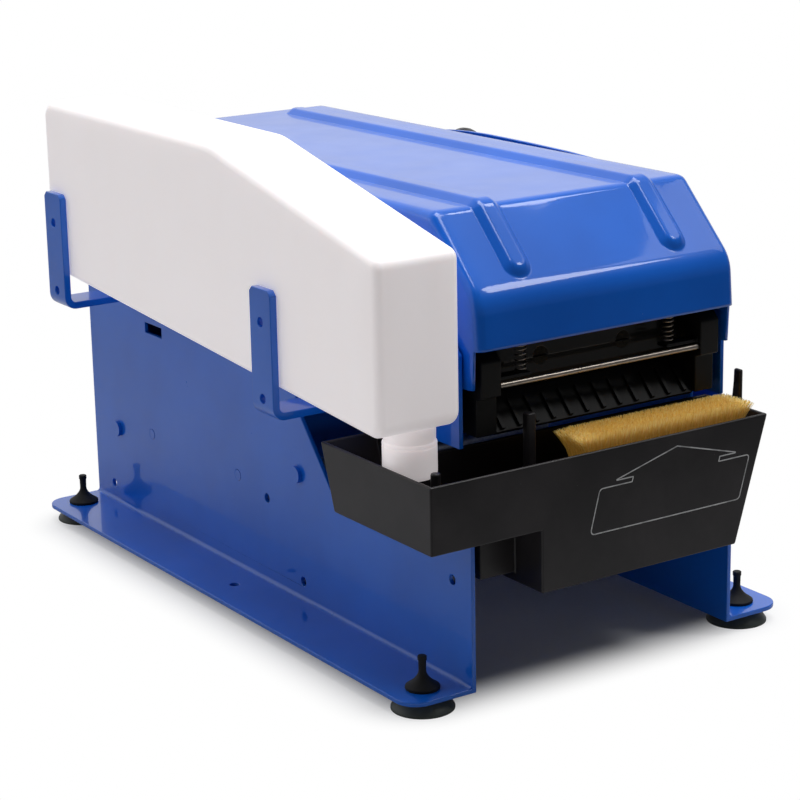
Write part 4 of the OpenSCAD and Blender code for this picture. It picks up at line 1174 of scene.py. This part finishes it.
def paper_floor(name):
    """White paper that keeps the shadow round the object and turns to plain white farther out."""
    material, tree, shader, place = start_material(name)
    split = add(tree, "SeparateXYZ", {}, Vector=place)
    ahead = add(tree, "MapRange",
                {"From Min": FAR_Y, "From Max": NEAR_Y, "To Min": FAR_BOUNCE, "To Max": BOUNCE},
                Value=split.outputs["Y"])
    path = add(tree, "LightPath")
    lit = join(tree, "Math", "MAXIMUM", ahead.outputs["Result"],
               path.outputs["Is Camera Ray"])
    tint = add(tree, "MixRGB", {"Color1": linear("000000"), "Color2": linear("f4f4f4")},
               Fac=lit)
    fill(tree, shader, {
        "Base Color": tint.outputs["Color"], "Roughness": 0.9, "Specular IOR Level": 0.0,
    })
    outward = join(tree, "VectorMath", "ABSOLUTE", place, None, "Vector")
    beyond = join(tree, "VectorMath", "SUBTRACT", outward, FOOTPRINT, "Vector")
    outside = join(tree, "VectorMath", "MAXIMUM", beyond, (0, 0, 0), "Vector")
    distance = join(tree, "VectorMath", "LENGTH", outside, None)
    fade = add(tree, "MapRange",
               {"From Max": SHADOW_REACH, "interpolation_type": "SMOOTHSTEP"}, Value=distance)
    seen = join(tree, "Math", "MULTIPLY", fade.outputs["Result"],
                path.outputs["Is Camera Ray"])
    white = add(tree, "Emission", {"Color": (1, 1, 1, 1), "Strength": 1.0})
    mixed = add(tree, "MixShader", {}, Fac=seen)
    tree.links.new(shader.outputs["BSDF"], mixed.inputs[1])
    tree.links.new(white.outputs["Emission"], mixed.inputs[2])
    tree.links.new(mixed.outputs["Shader"], tree.nodes["Material Output"].inputs["Surface"])
    return material


# %% Place the floor
bpy.ops.mesh.primitive_circle_add(vertices=96, radius=6.0, fill_type="NGON", location=(0, 0, 0))
floor = bpy.context.object
floor.name = "paper_floor"
floor.data.materials.append(paper_floor("white_paper"))
print("the shadow fades to white over", SHADOW_REACH, "m")

# %% [markdown]
# ## Studio light
# The studio is bright behind and dark in front, as in the photograph, so tops gleam and fronts stay
# deep in colour. The world's strength follows the direction, and the camera itself sees white.

# %% World
# The light's strength from behind and from in front, and the Y of a direction where each starts
BACK_LEVEL = 0.82
FRONT_LEVEL = 0.1
BACK_FROM = 0.5
FRONT_FROM = -0.1
world = bpy.data.worlds.new("studio")
scene.world = world
world.use_nodes = True
sky = world.node_tree
sky.nodes.clear()
direction = add(sky, "TexCoord").outputs["Generated"]
heading = add(sky, "SeparateXYZ", {}, Vector=direction)
level = add(sky, "MapRange",
            {"From Min": FRONT_FROM, "From Max": BACK_FROM,
             "To Min": FRONT_LEVEL, "To Max": BACK_LEVEL},
            Value=heading.outputs["Y"])
light_path = add(sky, "LightPath")
seen_white = join(sky, "Math", "MAXIMUM", light_path.outputs["Is Camera Ray"],
                  light_path.outputs["Is Transmission Ray"])
strength = join(sky, "Math", "MAXIMUM", seen_white, level.outputs["Result"])
studio = add(sky, "Background", {"Color": (1, 1, 1, 1)}, Strength=strength)
add(sky, "OutputWorld", {}, Surface=studio.outputs["Background"])
print("the studio gives", BACK_LEVEL, "from behind and", FRONT_LEVEL, "from in front")

# %% [markdown]
# A soft lamp hangs overhead and a weaker one stands at the left. Two small ones at the front right
# draw the bright lines along the bends of the lid, and a wide dim one beside them lays a soft sheen
# on the right end of the lid's slope.

# %% Lamps
AIM = Vector((0, 0, 0.15))
# Each lamp's place in metres, its size in metres and its power in watts
LAMPS = {
    "overhead_lamp": ((0.05, -0.15, 1.5), 0.9, 15),
    "left_lamp": ((-1.6, 0.9, 0.8), 0.7, 0.8),
    "slope_lamp_low": ((0.73, -0.75, 1.2), 0.28, 2.2),
    "slope_lamp_high": ((0.71, -0.28, 1.31), 0.2, 1.2),
    "slope_sheen": ((1.26, -0.5, 1.3), 0.5, 1.3),
}


def soft_lamp(name, place, size, power):
    """A square area lamp that faces the middle of the machine."""
    lamp = bpy.data.lights.new(name, "AREA")
    lamp.size = size
    lamp.energy = power
    holder = new_object(name, lamp)
    holder.location = place
    holder.rotation_euler = (AIM - Vector(place)).to_track_quat("-Z", "Y").to_euler()


for lamp_name, settings in LAMPS.items():
    soft_lamp(lamp_name, *settings)
print("lamps:", *LAMPS)

# %% [markdown]
# ## Finish
# The view transform stays Standard, so the colours render as they are written.

# %% Finish
scene.view_settings.view_transform = "Standard"
